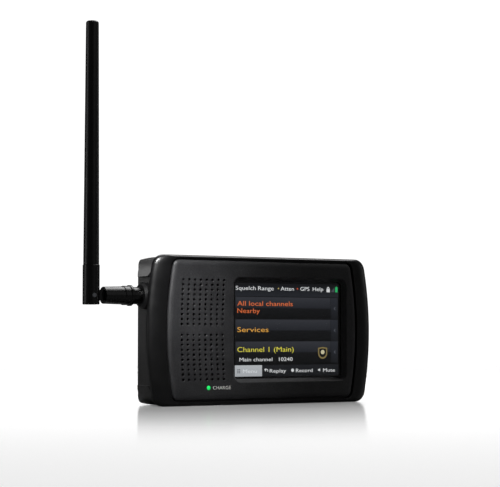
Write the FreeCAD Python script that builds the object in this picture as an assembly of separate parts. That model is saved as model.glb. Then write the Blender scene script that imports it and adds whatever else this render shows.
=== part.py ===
import FreeCAD, Part
import math
import os

# Handheld touch-screen scanner with a swivel antenna, standing on its bottom edge.
# Millimetres.  +X is the viewer's right when facing the screen, the screen faces -Y, +Z is up.
# The origin is the middle of the bottom face.  "Depth" is measured back from the front face.

V = FreeCAD.Vector

# --- overall body -----------------------------------------------------------------------------
BODY_DEPTH = 40.0
BODY_HEIGHT = 83.2
BODY_HALF_WIDTH = 73.6
SIDE_BOW_RADIUS = 195.0      # the two ends of the front bulge outwards on this radius
WALL = 2.0
FIT_GAP = 0.10               # between pieces fixed in one body
MOVE_GAP = 0.35              # between pieces that move on each other
RUN_FIT = 0.05               # radial clearance of a shaft in its hole
THREAD_GAP = 0.02            # radial clearance of a screw in its thread

# --- front frame (the smooth band round the front panel) -------------------------------------
FRAME_FRONT_DEPTH = 0.5
FRAME_EDGE_DEPTH = 2.6       # where the sloping face of the frame reaches its rounded edge
FRAME_BACK_DEPTH = 4.7
FRAME_FACE_INSET_X = 6.6     # how far the sloping face runs in from each end
FRAME_FACE_INSET_Z = 0.9
FRAME_EDGE_INSET = 0.6
FRAME_CORNER_R = 7.0
FRAME_SIDE = 10.35           # width of the band at each end, and below and above
FRAME_LOW = 2.15
FRAME_HIGH = 1.75
GROOVE = 0.95                # dark groove between panel and frame
LEDGE_WIDTH = 2.2            # the frame's inner ledge, under the panel's edge

# --- front panel ------------------------------------------------------------------------------
PANEL_HALF_WIDTH = BODY_HALF_WIDTH - FRAME_SIDE - GROOVE
PANEL_LOW = FRAME_LOW + GROOVE
PANEL_HIGH = BODY_HEIGHT - FRAME_HIGH - GROOVE
PANEL_CORNER_R = 4.0
PANEL_THICKNESS = 2.4
PANEL_EDGE_R = 1.5

# --- window and display -----------------------------------------------------------------------
SCREEN_WIDTH = 70.1
SCREEN_HEIGHT = 52.6
SCREEN_RIGHT_MARGIN = 9.95   # from the lit area to the panel's right end
SCREEN_RISE = 0.2            # above the panel's middle
SCREEN_X = PANEL_HALF_WIDTH - SCREEN_RIGHT_MARGIN - SCREEN_WIDTH / 2
SCREEN_Z = (PANEL_LOW + PANEL_HIGH) / 2 + SCREEN_RISE
WINDOW_DEPTH = 3.0           # front face to touch panel
WINDOW_LIP = 1.2             # window edge beyond the lit area, at the touch panel
WINDOW_BEVEL = 2.0
WINDOW_R = 2.6
GASKET_WIDTH = 1.2
GASKET_THICKNESS = 0.4
LENS_DEPTH = WINDOW_DEPTH + GASKET_THICKNESS
LENS_THICKNESS = 1.1
LENS_MARGIN = 2.6
LENS_CORNER_R = 1.0
DISPLAY_DEPTH = LENS_DEPTH + LENS_THICKNESS
DISPLAY_THICKNESS = 3.2
DISPLAY_MARGIN = 2.4
DISPLAY_CORNER_R = 0.6
BRACKET_DEPTH = DISPLAY_DEPTH + DISPLAY_THICKNESS
BRACKET_THICKNESS = 0.8
BRACKET_LEG_R = 1.6
BRACKET_LEG_INSET = 3.0
RIBBON_HALF_WIDTH = 12.0
RIBBON_THICKNESS = 0.25
RIBBON_GAP = 1.0             # between the ribbon and the edge of the display
RIBBON_LIFT = 1.0            # of its root above the back of the display
RIBBON_TAIL = 6.0            # how far it lies on the board

# --- speaker and grille -----------------------------------------------------------------------
GRILLE_COLUMNS = 8
GRILLE_ROWS = 10             # in each of the two blocks
GRILLE_PITCH_X = 3.69
GRILLE_PITCH_Z = 2.72
GRILLE_GAP = 5.95            # between the two blocks
GRILLE_HOLE_R = 0.75
GRILLE_LEFT_MARGIN = 8.4
GRILLE_X = -PANEL_HALF_WIDTH + GRILLE_LEFT_MARGIN + (GRILLE_COLUMNS - 1) / 2 * GRILLE_PITCH_X
GRILLE_Z = SCREEN_Z
CLOTH_THICKNESS = 0.3
CLOTH_MARGIN = 1.5
SPEAKER_R = 16.5
SPEAKER_RIM = 2.6
SPEAKER_DEPTH = 4.6
SPEAKER_WALL = 0.8
SPEAKER_START = PANEL_THICKNESS + CLOTH_THICKNESS
CONE_PROFILE = [              # behind its start and out from its axis, inside the rim
    (2.6, 5.0), (1.4, 3.0), (1.0, 0), (0.6, 0), (1.0, 3.2), (2.1, 5.0)]
CONE_RIM = (0.2, 0.6)         # front and back of its rim
MAGNET_R = 9.0
MAGNET_DEPTH = 2.6

# --- charge light -----------------------------------------------------------------------------
LIGHT_X = GRILLE_X + 4.2
LIGHT_Z = PANEL_LOW + 6.8
LIGHT_R = 1.15
LIGHT_FLANGE_R = 2.0
LIGHT_FLANGE = 0.8

# --- rear casing ------------------------------------------------------------------------------
CASING_FRONT_DEPTH = FRAME_BACK_DEPTH + FIT_GAP
CASING_START_HALF_WIDTH = BODY_HALF_WIDTH - 2.4
CASING_BULGE_HALF_WIDTH = BODY_HALF_WIDTH - 0.4
CASING_BULGE_DEPTH = 12.3
CASING_SHOULDER_HALF_WIDTH = BODY_HALF_WIDTH - 4.0
CASING_SHOULDER_DEPTH = 21.5
CASING_BACK_HALF_WIDTH = BODY_HALF_WIDTH - 17.6
CASING_FLANK_CROWN = 1.6
CASING_EDGE_CROWN = 1.2      # how round the top and bottom run to the back
CASING_EDGE_RISE = 0.3
CASING_HEIGHT = BODY_HEIGHT - 0.4
CASING_CORNER_R = 18.0
CASING_BACK_LOW = 5.0
CASING_BACK_HIGH = BODY_HEIGHT - 4.7
CASING_FLAT_DEPTH = BODY_DEPTH - 12.0    # how far back the bottom stays flat
CASING_TOP_DEPTH = BODY_DEPTH - 16.0     # how far back the top stays flat
RECESS_DEEP = 3.2
RECESS_FLOOR = BODY_HALF_WIDTH - RECESS_DEEP
RECESS_LOW = 11.5
RECESS_HIGH = BODY_HEIGHT - 12.0
RECESS_CORNER_R = 1.5
RECESS_BACK = BODY_DEPTH - 8.5          # how far back the recess reaches

# --- case screws ------------------------------------------------------------------------------
SCREW_X = CASING_BACK_HALF_WIDTH - 4.0
SCREW_LOW = 8.6
SCREW_HIGH = BODY_HEIGHT - 8.4
SCREW_R = 1.25
SCREW_HEAD_R = SCREW_R + 1.15
SCREW_HEAD_HEIGHT = 1.6
SCREW_HEAD_DEPTH = 22.0      # depth of the face the head bears on
SLOT_DEPTH = 0.7
SLOT_HALF_LENGTH = 1.2
SLOT_HALF_WIDTH = 0.3
TUBE_R = SCREW_HEAD_R + 1.3
BOSS_R = TUBE_R - FIT_GAP
TUBE_START = CASING_FRONT_DEPTH

# --- main board -------------------------------------------------------------------------------
BOARD_DEPTH = 12.6
BOARD_THICKNESS = 1.6
BOARD_BACK = BOARD_DEPTH + BOARD_THICKNESS
BOARD_HALF_WIDTH = RECESS_FLOOR - WALL - 7.4
BOARD_TUBE_GAP = 1.2
BOARD_LOW = SCREW_LOW + TUBE_R + BOARD_TUBE_GAP
BOARD_HIGH = SCREW_HIGH - TUBE_R - BOARD_TUBE_GAP
BOARD_CORNER_R = 1.5
BOARD_SCREW_INSET = 4.0
BOARD_SCREW_LENGTH = 7.0
PILLAR_R = SCREW_R + 1.5
SHIELD_HEIGHT = 2.8
SHIELD_WALL = 0.5
SHIELD_WIDTH = 38.0
SHIELD_LENGTH = 34.0
CHIPS = {                    # middle x, middle z, width, height, thickness
    "processor": (2, 55, 14, 14, 1.2),
    "memory": (24, 55, 10, 12, 1.0),
    "audio": (24, 30, 8, 8, 1.0),
    "power": (2, 30, 12, 8, 1.2),
    "port": (38, 44, 6, 16, 1.4),
}
SHIELD_X = GRILLE_X + 9.0
CARD_X = BOARD_HALF_WIDTH - 9.0
CARD_Z = 30.0
CARD_WIDTH = 11.0
CARD_LENGTH = 15.0
CARD_THICKNESS = 0.8

# --- batteries --------------------------------------------------------------------------------
CELL_R = 7.1
CELL_LENGTH = 50.0
CELL_COUNT = 3
CELL_PITCH = 2 * CELL_R + 0.8
CELL_NUB_R = 2.7
CELL_NUB_LENGTH = 1.0
CELL_EDGE_R = 0.6
DOOR_THICKNESS = 1.7
DOOR_MARGIN = 3.2
DOOR_CORNER_R = 1.2
DOOR_GROOVES = 5
DOOR_GROOVE = 0.8            # width and depth of each grip groove
DOOR_GRIP_HALF = 9.0
DOOR_GRIP_DROP = 8.0         # from the door's top edge to the first groove
DOOR_DEPTH = BODY_DEPTH - DOOR_THICKNESS - FIT_GAP
BAY_WALL = 1.5
BAY_LOW = 13.4
BAY_SIDE_GAP = 0.6
BAY_FLOOR_GAP = 0.4          # between a cell and the floor of the bay
BAY_DOOR_GAP = 1.25          # between a cell and the door's rebate
BAY_DEPTH = DOOR_DEPTH - MOVE_GAP - BAY_DOOR_GAP - 2 * CELL_R - BAY_FLOOR_GAP
BAY_HALF_WIDTH = CELL_PITCH * (CELL_COUNT - 1) / 2 + CELL_R + BAY_SIDE_GAP
SPRING_LENGTH = 3.6
SPRING_WIRE_R = 0.35
SPRING_TURNS = 3
SPRING_SPREAD = 1.2           # of a coil beyond the cell's nub
SPRING_RISER_R = 0.8 * SPRING_WIRE_R
CONTACT_THICKNESS = 0.4
CONTACT_HALF_WIDTH = 5.1
BAY_HIGH = (BAY_LOW + 2 * CONTACT_THICKNESS + SPRING_LENGTH + CELL_LENGTH + CELL_NUB_LENGTH
            + 2 * FIT_GAP)

# --- antenna ----------------------------------------------------------------------------------
JACK_R = 3.1
JACK_BORE_R = 0.65
JACK_OUT = 3.4               # how far the jack stands out of the seat
JACK_IN = 5.0                # and how far it reaches inside the wall
NUT_FLATS = 2 * JACK_R + 2.8
NUT_THICKNESS = 2.0
SEAT_R = 7.45
SEAT_HEIGHT = 3.0
SEAT_SLOPE = 1.3
SEAT_FRAME_GAP = 0.25
COLLAR_R = JACK_R + 1.65
COLLAR_LENGTH = 5.1
RING_R = COLLAR_R + 1.0
RING_LENGTH = 1.9
RING_EDGE_R = 0.5
STEP_R = 5.3
STEP_LENGTH = 3.6
STEP_DROP = 0.35
ARM_LENGTH = 15.03
ARM_SMALL_R = 4.65
NECK_HALF = 2.9
TONGUE_HALF = 1.7
TONGUE_R = 3.3
PIN_R = 1.2
BASE_R = 4.6
BASE_LOW = 5.1               # below the fold axis
BASE_HIGH = 16.4             # above the fold axis
BASE_EDGE_R = 0.4
ARM_START = math.hypot(BASE_R, BASE_LOW) + MOVE_GAP    # from the fold axis to the arm's end face
WHIP_BOTTOM_R = 4.3
WHIP_TIP_R = 3.5
WHIP_LENGTH = 132.7
WHIP_TIP_ROUND = 1.4
SPIGOT_R = 2.5
SPIGOT_LENGTH = 5.0
ANTENNA_DEPTH = FRAME_BACK_DEPTH + SEAT_R + SEAT_FRAME_GAP
ANTENNA_Z = RECESS_HIGH - 10.6
SEAT_FACE_X = -RECESS_FLOOR - SEAT_HEIGHT
COLLAR_END_X = SEAT_FACE_X - MOVE_GAP - COLLAR_LENGTH
ARM_ROOT_X = COLLAR_END_X - RING_LENGTH
ARM_TIP_X = ARM_ROOT_X - ARM_LENGTH
FOLD_X = ARM_TIP_X - ARM_START           # the fold axis and the middle of the upright whip

# --- controls and sockets in the right recess -------------------------------------------------
CONTROL_DEPTH = 12.0         # button and knob
BUTTON_Z = RECESS_HIGH - 7.7
BUTTON_HALF_LENGTH = 4.6
BUTTON_HALF_WIDTH = 2.3
BUTTON_OUT = 1.0
BUTTON_TRAVEL = 0.6
BUTTON_FLANGE = 0.9
BUTTON_FLANGE_THICKNESS = 1.2
SWITCH_SIZE = 5.0
SWITCH_PLUNGER_R = 1.2
SWITCH_PLUNGER = 0.8
KNOB_Z = BUTTON_Z - 14.5
KNOB_R = 6.2
KNOB_HEIGHT = 3.6
KNOB_EDGE = 0.5
KNOB_SHAFT_R = 1.5
KNOB_FLUTES = 24
KNOB_FLUTE_R = 0.35
ENCODER_SIZE = 9.0
ENCODER_LENGTH = 5.0
ENCODER_FLOOR = 1.0
PHONE_Z = KNOB_Z - 13.0
RECORD_Z = PHONE_Z - 8.5
PLUG_HOLE_R = 1.78
SOCKET_R = 2.9
SOCKET_LENGTH = 12.0
SOCKET_END = 1.2
USB_Z = RECORD_Z - 9.3
USB_HALF_WIDTH = 3.45
USB_HALF_HEIGHT = 1.55
USB_SHELL = 0.5
USB_CORNER_R = 0.5
USB_LENGTH = 10.5
USB_TONGUE_HALF = 0.4
USB_TONGUE_INSET = 1.2

FRONT_Y = -BODY_DEPTH / 2
ALONG_X, ALONG_Y, ALONG_Z = V(1, 0, 0), V(0, 1, 0), V(0, 0, 1)


# --- helpers ----------------------------------------------------------------------------------
def depth(value):
    """The Y of a depth behind the front face."""
    return FRONT_Y + value


def box(x, y, z):
    """A box between the two values of each axis."""
    return Part.makeBox(x[1] - x[0], y[1] - y[0], z[1] - z[0], V(x[0], y[0], z[0]))


def rod(radius, length, start, direction):
    return Part.makeCylinder(radius, length, start, direction)


def rounded(solid, radius, direction):
    """Rounds the straight edges of a solid that lie along a direction."""
    edges = [e for e in solid.Edges if len(e.Vertexes) == 2 and isinstance(e.Curve, Part.Line)
             and abs(e.tangentAt(e.FirstParameter).dot(direction)) > 0.999]
    return solid.makeFillet(radius, edges)


def round_box(x, y, z, radius, direction=ALONG_Y):
    return rounded(box(x, y, z), radius, direction)


def bowed_prism(half_width, low, high, corner_r, start, end):
    """A plate seen from the front: straight top and bottom, ends bowed out, corners rounded."""
    middle, half_height = (low + high) / 2, (high - low) / 2
    sag = SIDE_BOW_RADIUS - math.sqrt(SIDE_BOW_RADIUS ** 2 - half_height ** 2)
    side, y = half_width - sag, depth(start)
    corners = [V(-side, y, low), V(side, y, low), V(side, y, high), V(-side, y, high)]
    edges = [
        Part.LineSegment(corners[0], corners[1]).toShape(),
        Part.Arc(corners[1], V(half_width, y, middle), corners[2]).toShape(),
        Part.LineSegment(corners[2], corners[3]).toShape(),
        Part.Arc(corners[3], V(-half_width, y, middle), corners[0]).toShape(),
    ]
    prism = Part.Face(Part.Wire(edges)).extrude(V(0, end - start, 0))
    return rounded(prism, corner_r, ALONG_Y)


def wire_at(prism, value):
    """The outline of a prism's flat face at a depth."""
    face = min(prism.Faces, key=lambda f: abs(f.BoundBox.YMin - depth(value)) + f.BoundBox.YLength)
    return face.OuterWire


def around(x, z, half_x, half_z):
    """The four corners of a rectangle seen from the front."""
    return [(x + sx * half_x, z + sz * half_z) for sx in (-1, 1) for sz in (-1, 1)]


def joined(first, *others):
    """Unites pieces into one solid without leftover seams."""
    return first.multiFuse(list(others)).removeSplitter()


def revolved(profile, start, direction):
    """Turns (distance along, radius) points about an axis."""
    side = ALONG_Y if abs(direction.dot(ALONG_Y)) < 0.5 else ALONG_Z
    points = [start + direction * along + side * radius for along, radius in profile]
    points.append(points[0])
    return Part.Face(Part.makePolygon(points)).revolve(start, direction, 360)


def save(name, shape):
    if not shape.isValid():
        raise ValueError(f"{name} is not a valid solid")
    shape.exportStep(f"parts/{name}.step")


def screw_places():
    return [(x, z) for x in (-SCREW_X, SCREW_X) for z in (SCREW_LOW, SCREW_HIGH)]


# --- front ------------------------------------------------------------------------------------
def frame_opening(inset, start, end):
    """A prism that fits the frame's opening, smaller by an inset."""
    return bowed_prism(PANEL_HALF_WIDTH + GROOVE - inset, PANEL_LOW - GROOVE + inset,
                       PANEL_HIGH + GROOVE - inset, PANEL_CORNER_R + GROOVE, start, end)


def front_frame():
    """Sloping band with a rounded rim, and a ledge inside that carries the panel."""
    face = bowed_prism(BODY_HALF_WIDTH - FRAME_FACE_INSET_X, FRAME_FACE_INSET_Z,
                       BODY_HEIGHT - FRAME_FACE_INSET_Z, FRAME_CORNER_R - FRAME_FACE_INSET_Z,
                       FRAME_FRONT_DEPTH, FRAME_EDGE_DEPTH)
    rim = bowed_prism(BODY_HALF_WIDTH - FRAME_EDGE_INSET, FRAME_EDGE_INSET / 2,
                      BODY_HEIGHT - FRAME_EDGE_INSET / 2, FRAME_CORNER_R - FRAME_EDGE_INSET / 2,
                      FRAME_EDGE_DEPTH, FRAME_BACK_DEPTH)
    outer = bowed_prism(BODY_HALF_WIDTH, 0, BODY_HEIGHT, FRAME_CORNER_R,
                        FRAME_EDGE_DEPTH + FRAME_EDGE_INSET, FRAME_BACK_DEPTH)
    slope = Part.makeLoft([wire_at(face, FRAME_FRONT_DEPTH), wire_at(rim, FRAME_EDGE_DEPTH),
                           wire_at(outer, FRAME_EDGE_DEPTH + FRAME_EDGE_INSET)], True, True)
    body = joined(slope, outer)
    ledge = PANEL_THICKNESS + FIT_GAP
    body = body.cut(frame_opening(0, -1, ledge))
    body = body.cut(frame_opening(GROOVE + LEDGE_WIDTH, -1, FRAME_BACK_DEPTH + 1))
    for x, z in screw_places():
        boss = rod(BOSS_R, FRAME_BACK_DEPTH - ledge, V(x, depth(ledge), z), ALONG_Y)
        body = joined(body, boss).cut(rod(SCREW_R + FIT_GAP, BODY_DEPTH, V(x, depth(ledge), z), ALONG_Y))
    return body



def window_wire(grow, value):
    """The rounded outline of the window, larger than the lit area by an amount."""
    half_w, half_h = SCREEN_WIDTH / 2 + grow, SCREEN_HEIGHT / 2 + grow
    plate = round_box((SCREEN_X - half_w, SCREEN_X + half_w), (depth(value), depth(value) + 1),
                      (SCREEN_Z - half_h, SCREEN_Z + half_h), WINDOW_R + grow - WINDOW_LIP)
    return wire_at(plate, value)


def grille_points():
    """Hole centres: two blocks, whose columns bow out parallel to the end of the body."""
    first_row = GRILLE_GAP / 2
    for block in (-1, 1):
        for row in range(GRILLE_ROWS):
            offset = block * (first_row + row * GRILLE_PITCH_Z)
            bow = SIDE_BOW_RADIUS - math.sqrt(SIDE_BOW_RADIUS ** 2 - offset ** 2)
            for column in range(GRILLE_COLUMNS):
                across = (column - (GRILLE_COLUMNS - 1) / 2) * GRILLE_PITCH_X
                yield GRILLE_X + across + bow / 2, GRILLE_Z + offset


def front_panel():
    """Textured cover: rolled edge, bevelled window, speaker holes, light hole, screw bosses."""
    body = bowed_prism(PANEL_HALF_WIDTH, PANEL_LOW, PANEL_HIGH, PANEL_CORNER_R, 0, PANEL_THICKNESS)
    edge = min(body.Faces, key=lambda f: f.CenterOfMass.y).Edges
    body = body.makeFillet(PANEL_EDGE_R, edge)
    skirt_half_w = SCREEN_WIDTH / 2 + WINDOW_LIP + GASKET_WIDTH
    skirt_half_h = SCREEN_HEIGHT / 2 + WINDOW_LIP + GASKET_WIDTH
    skirt = round_box((SCREEN_X - skirt_half_w, SCREEN_X + skirt_half_w),
                      (depth(PANEL_THICKNESS - 0.5), depth(WINDOW_DEPTH)),
                      (SCREEN_Z - skirt_half_h, SCREEN_Z + skirt_half_h), WINDOW_R)
    body = joined(body, skirt)
    window = Part.makeLoft([window_wire(WINDOW_LIP + WINDOW_BEVEL, 0), window_wire(WINDOW_LIP, WINDOW_DEPTH)],
                           True, True)
    holes = [rod(GRILLE_HOLE_R, PANEL_THICKNESS + 2, V(x, depth(-1), z), ALONG_Y)
             for x, z in grille_points()]
    holes.append(rod(LIGHT_R + FIT_GAP, PANEL_THICKNESS + 2, V(LIGHT_X, depth(-1), LIGHT_Z), ALONG_Y))
    return body.cut(Part.makeCompound([window] + holes))


def gasket():
    """Foam ring that seals the touch panel against the back of the window."""
    inner = [SCREEN_WIDTH / 2 + WINDOW_LIP + FIT_GAP, SCREEN_HEIGHT / 2 + WINDOW_LIP + FIT_GAP]
    start, end = WINDOW_DEPTH, WINDOW_DEPTH + GASKET_THICKNESS

    def plate(grow, first, last):
        half_w, half_h = inner[0] + grow, inner[1] + grow
        return box((SCREEN_X - half_w, SCREEN_X + half_w), (depth(first), depth(last)),
                   (SCREEN_Z - half_h, SCREEN_Z + half_h))

    return plate(GASKET_WIDTH, start, end).cut(plate(0, start - 1, end + 1))



def screen_plate(margin, start, thickness, radius):
    """A plate centred on the display, larger than the lit area by a margin."""
    half_w, half_h = SCREEN_WIDTH / 2 + margin, SCREEN_HEIGHT / 2 + margin
    return round_box((SCREEN_X - half_w, SCREEN_X + half_w), (depth(start), depth(start + thickness)),
                     (SCREEN_Z - half_h, SCREEN_Z + half_h), radius)


def touch_panel():
    return screen_plate(LENS_MARGIN, LENS_DEPTH, LENS_THICKNESS, LENS_CORNER_R)


def display():
    return screen_plate(DISPLAY_MARGIN, DISPLAY_DEPTH, DISPLAY_THICKNESS, DISPLAY_CORNER_R)


def display_bracket():
    """Sheet-metal tray behind the display, with four legs that stand on the board."""
    tray = screen_plate(DISPLAY_MARGIN, BRACKET_DEPTH, BRACKET_THICKNESS, DISPLAY_CORNER_R)
    start = BRACKET_DEPTH + BRACKET_THICKNESS / 2
    legs = [rod(BRACKET_LEG_R, BOARD_DEPTH - start, V(x, depth(start), z), ALONG_Y)
            for x, z in around(SCREEN_X, SCREEN_Z, SCREEN_WIDTH / 2 - BRACKET_LEG_INSET,
                               SCREEN_HEIGHT / 2 - BRACKET_LEG_INSET)]
    return joined(tray, *legs)


def grille_cloth():
    """Thin dust cloth glued behind the speaker holes."""
    half_w = (GRILLE_COLUMNS - 1) / 2 * GRILLE_PITCH_X + CLOTH_MARGIN
    half_h = GRILLE_GAP / 2 + (GRILLE_ROWS - 1) * GRILLE_PITCH_Z + CLOTH_MARGIN
    start = depth(PANEL_THICKNESS)
    return box((GRILLE_X - half_w, GRILLE_X + half_w), (start, start + CLOTH_THICKNESS),
               (GRILLE_Z - half_h, GRILLE_Z + half_h))


# --- speaker ----------------------------------------------------------------------------------
def on_speaker_axis(start):
    return V(GRILLE_X, depth(start), GRILLE_Z)


def speaker_frame():
    """Pressed basket: a flat rim against the cloth and a dish that tapers to the magnet."""
    start = on_speaker_axis(SPEAKER_START)
    wall, bottom = SPEAKER_WALL, MAGNET_R
    outer = [(0, 0), (0, SPEAKER_R), (wall, SPEAKER_R), (wall, SPEAKER_R - SPEAKER_RIM / 2),
             (SPEAKER_DEPTH, bottom + wall), (SPEAKER_DEPTH, 0)]
    dish = revolved(outer, start, ALONG_Y)
    hollow = [(-1, 0), (-1, SPEAKER_R - SPEAKER_RIM), (wall, SPEAKER_R - SPEAKER_RIM),
              (SPEAKER_DEPTH - wall, bottom), (SPEAKER_DEPTH - wall, 0)]
    return dish.cut(revolved(hollow, start, ALONG_Y))


def speaker_cone():
    """Paper cone with a domed middle, hung inside the basket's rim."""
    start = on_speaker_axis(SPEAKER_START)
    reach = SPEAKER_R - SPEAKER_RIM - FIT_GAP
    return revolved([(rim, reach) for rim in CONE_RIM] + CONE_PROFILE, start, ALONG_Y)


def speaker_magnet():
    return rod(MAGNET_R, MAGNET_DEPTH, on_speaker_axis(SPEAKER_START + SPEAKER_DEPTH), ALONG_Y)


def light_pipe():
    """Clear plug through the panel that carries the charge light to the front."""
    stem = rod(LIGHT_R, PANEL_THICKNESS, V(LIGHT_X, depth(0), LIGHT_Z), ALONG_Y)
    flange = rod(LIGHT_FLANGE_R, LIGHT_FLANGE, V(LIGHT_X, depth(PANEL_THICKNESS), LIGHT_Z), ALONG_Y)
    return joined(stem, flange)


# --- main board -------------------------------------------------------------------------------
def main_board():
    """Circuit board with screw holes near its corners."""
    board = round_box((-BOARD_HALF_WIDTH, BOARD_HALF_WIDTH),
                      (depth(BOARD_DEPTH), depth(BOARD_DEPTH + BOARD_THICKNESS)),
                      (BOARD_LOW, BOARD_HIGH), BOARD_CORNER_R)
    for x, z in board_screw_places():
        hole = rod(SCREW_R + FIT_GAP, 2 * BOARD_THICKNESS, V(x, depth(BOARD_DEPTH) - 1, z), ALONG_Y)
        board = board.cut(hole)
    return board


def board_screw_places():
    middle, half = (BOARD_LOW + BOARD_HIGH) / 2, (BOARD_HIGH - BOARD_LOW) / 2
    return around(0, middle, BOARD_HALF_WIDTH - BOARD_SCREW_INSET, half - BOARD_SCREW_INSET)


def chip(x, z, width, height, thick):
    """A flat part standing on the back of the board."""
    start = depth(BOARD_DEPTH + BOARD_THICKNESS)
    return box((x - width / 2, x + width / 2), (start, start + thick), (z - height / 2, z + height / 2))


def board_chips():
    return Part.makeCompound([chip(*sizes) for sizes in CHIPS.values()])


def radio_shield():
    """Pressed can over the receiver circuits, open towards the board."""
    middle = (BOARD_LOW + BOARD_HIGH) / 2
    can = chip(SHIELD_X, middle, SHIELD_WIDTH, SHIELD_LENGTH, SHIELD_HEIGHT)
    return can.cut(chip(SHIELD_X, middle, SHIELD_WIDTH - 2 * SHIELD_WALL, SHIELD_LENGTH - 2 * SHIELD_WALL,
                        SHIELD_HEIGHT - SHIELD_WALL))


def card_shape(gap):
    """The memory card, or the space it needs when grown by a gap; it lies just off the board."""
    start, middle = depth(BOARD_BACK) + SHIELD_WALL - gap, CARD_Z + CARD_LENGTH / 8
    half_w, half_l = CARD_WIDTH / 2 + gap, CARD_LENGTH / 2 + gap
    return box((CARD_X - half_w, CARD_X + half_w), (start, start + CARD_THICKNESS + 2 * gap),
               (middle - half_l, middle + half_l))


def card_socket():
    """Metal shell on the board that holds the memory card."""
    shell = chip(CARD_X, CARD_Z, CARD_WIDTH + 2, CARD_LENGTH, CARD_THICKNESS + 2 * SHIELD_WALL)
    return shell.cut(card_shape(FIT_GAP))


def memory_card():
    return card_shape(0)


def display_ribbon():
    """Flat flexible lead from the display, round the edge of the tray, to the board."""
    edge = SCREEN_Z - SCREEN_HEIGHT / 2 - DISPLAY_MARGIN
    across = (SCREEN_X - RIBBON_HALF_WIDTH, SCREEN_X + RIBBON_HALF_WIDTH)
    front, back, thick = depth(BRACKET_DEPTH - RIBBON_LIFT), depth(BOARD_DEPTH), RIBBON_THICKNESS
    outer = edge - RIBBON_GAP
    down = box(across, (front, back), (outer - thick, outer))
    root = box(across, (front, front + thick), (outer, edge))
    tail = box(across, (back - thick, back), (outer, edge + RIBBON_TAIL))
    return joined(root, down, tail)


# --- rear casing ------------------------------------------------------------------------------
def casing_form(inset):
    """The casing's solid shape: front, top and side profiles crossed, all moved in by an inset."""
    start, back = depth(CASING_FRONT_DEPTH), depth(BODY_DEPTH - inset)
    wide, low, high = CASING_BULGE_HALF_WIDTH - inset, inset, CASING_HEIGHT - inset
    front = round_box((-wide, wide), (start, back), (low, high), CASING_CORNER_R - inset)

    def flank(side):
        first = V(side * (CASING_START_HALF_WIDTH - inset), start, 0)
        bulge = V(side * wide, depth(CASING_BULGE_DEPTH), 0)
        shoulder = V(side * (CASING_SHOULDER_HALF_WIDTH - inset), depth(CASING_SHOULDER_DEPTH), 0)
        rear = V(side * (CASING_BACK_HALF_WIDTH - inset), back, 0)
        middle = V((shoulder.x + rear.x) / 2 + side * CASING_FLANK_CROWN, (shoulder.y + rear.y) / 2, 0)
        return [Part.Arc(first, bulge, shoulder), Part.Arc(shoulder, middle, rear)]

    right, left = flank(1), flank(-1)
    ends = [right[1].EndPoint, left[1].EndPoint, left[0].StartPoint, right[0].StartPoint]
    plan = [right[0].toShape(), right[1].toShape(), Part.LineSegment(ends[0], ends[1]).toShape(),
            left[1].toShape(), left[0].toShape(), Part.LineSegment(ends[2], ends[3]).toShape()]
    plan = Part.Face(Part.Wire(Part.sortEdges(plan)[0])).extrude(V(0, 0, BODY_HEIGHT))

    flat_low, flat_high = depth(CASING_FLAT_DEPTH), depth(CASING_TOP_DEPTH)
    back_low, back_high = CASING_BACK_LOW + inset, CASING_BACK_HIGH - inset
    corners = [V(0, start, low), V(0, flat_low, low), V(0, back, back_low), V(0, back, back_high),
               V(0, flat_high, high), V(0, start, high)]
    under = V(0, (flat_low + back) / 2 + CASING_EDGE_CROWN, low + (back_low - low) * CASING_EDGE_RISE)
    above = V(0, (flat_high + back) / 2 + CASING_EDGE_CROWN,
              high - (high - back_high) * CASING_EDGE_RISE)
    side = [Part.LineSegment(corners[0], corners[1]).toShape(),
            Part.Arc(corners[1], under, corners[2]).toShape(),
            Part.LineSegment(corners[2], corners[3]).toShape(),
            Part.Arc(corners[3], above, corners[4]).toShape(),
            Part.LineSegment(corners[4], corners[5]).toShape(),
            Part.LineSegment(corners[5], corners[0]).toShape()]
    side = Part.Face(Part.Wire(side)).extrude(V(2 * BODY_HALF_WIDTH, 0, 0))
    side.translate(V(-BODY_HALF_WIDTH, 0, 0))
    return front.common(plan).common(side)


def recess(side, floor, low, high):
    """A pocket cut into one side of the casing, back to a floor."""
    x = sorted((side * floor, side * (BODY_HALF_WIDTH + 5)))
    return round_box(x, (depth(0), depth(RECESS_BACK)), (low, high), RECESS_CORNER_R, ALONG_X)


def bay_box(grow, start, end):
    """The battery space, or the walls round it when grown."""
    half_w = BAY_HALF_WIDTH + grow
    return box((-half_w, half_w), (depth(start), depth(end)), (BAY_LOW - grow, BAY_HIGH + grow))


def door_plate(gap, start, end, top):
    """The battery door's outline, larger by a gap all round, up to a given height."""
    half_w = BAY_HALF_WIDTH + DOOR_MARGIN + gap
    low = BAY_LOW - DOOR_MARGIN - gap
    return round_box((-half_w, half_w), (depth(start), depth(end)), (low, top), DOOR_CORNER_R)


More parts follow.
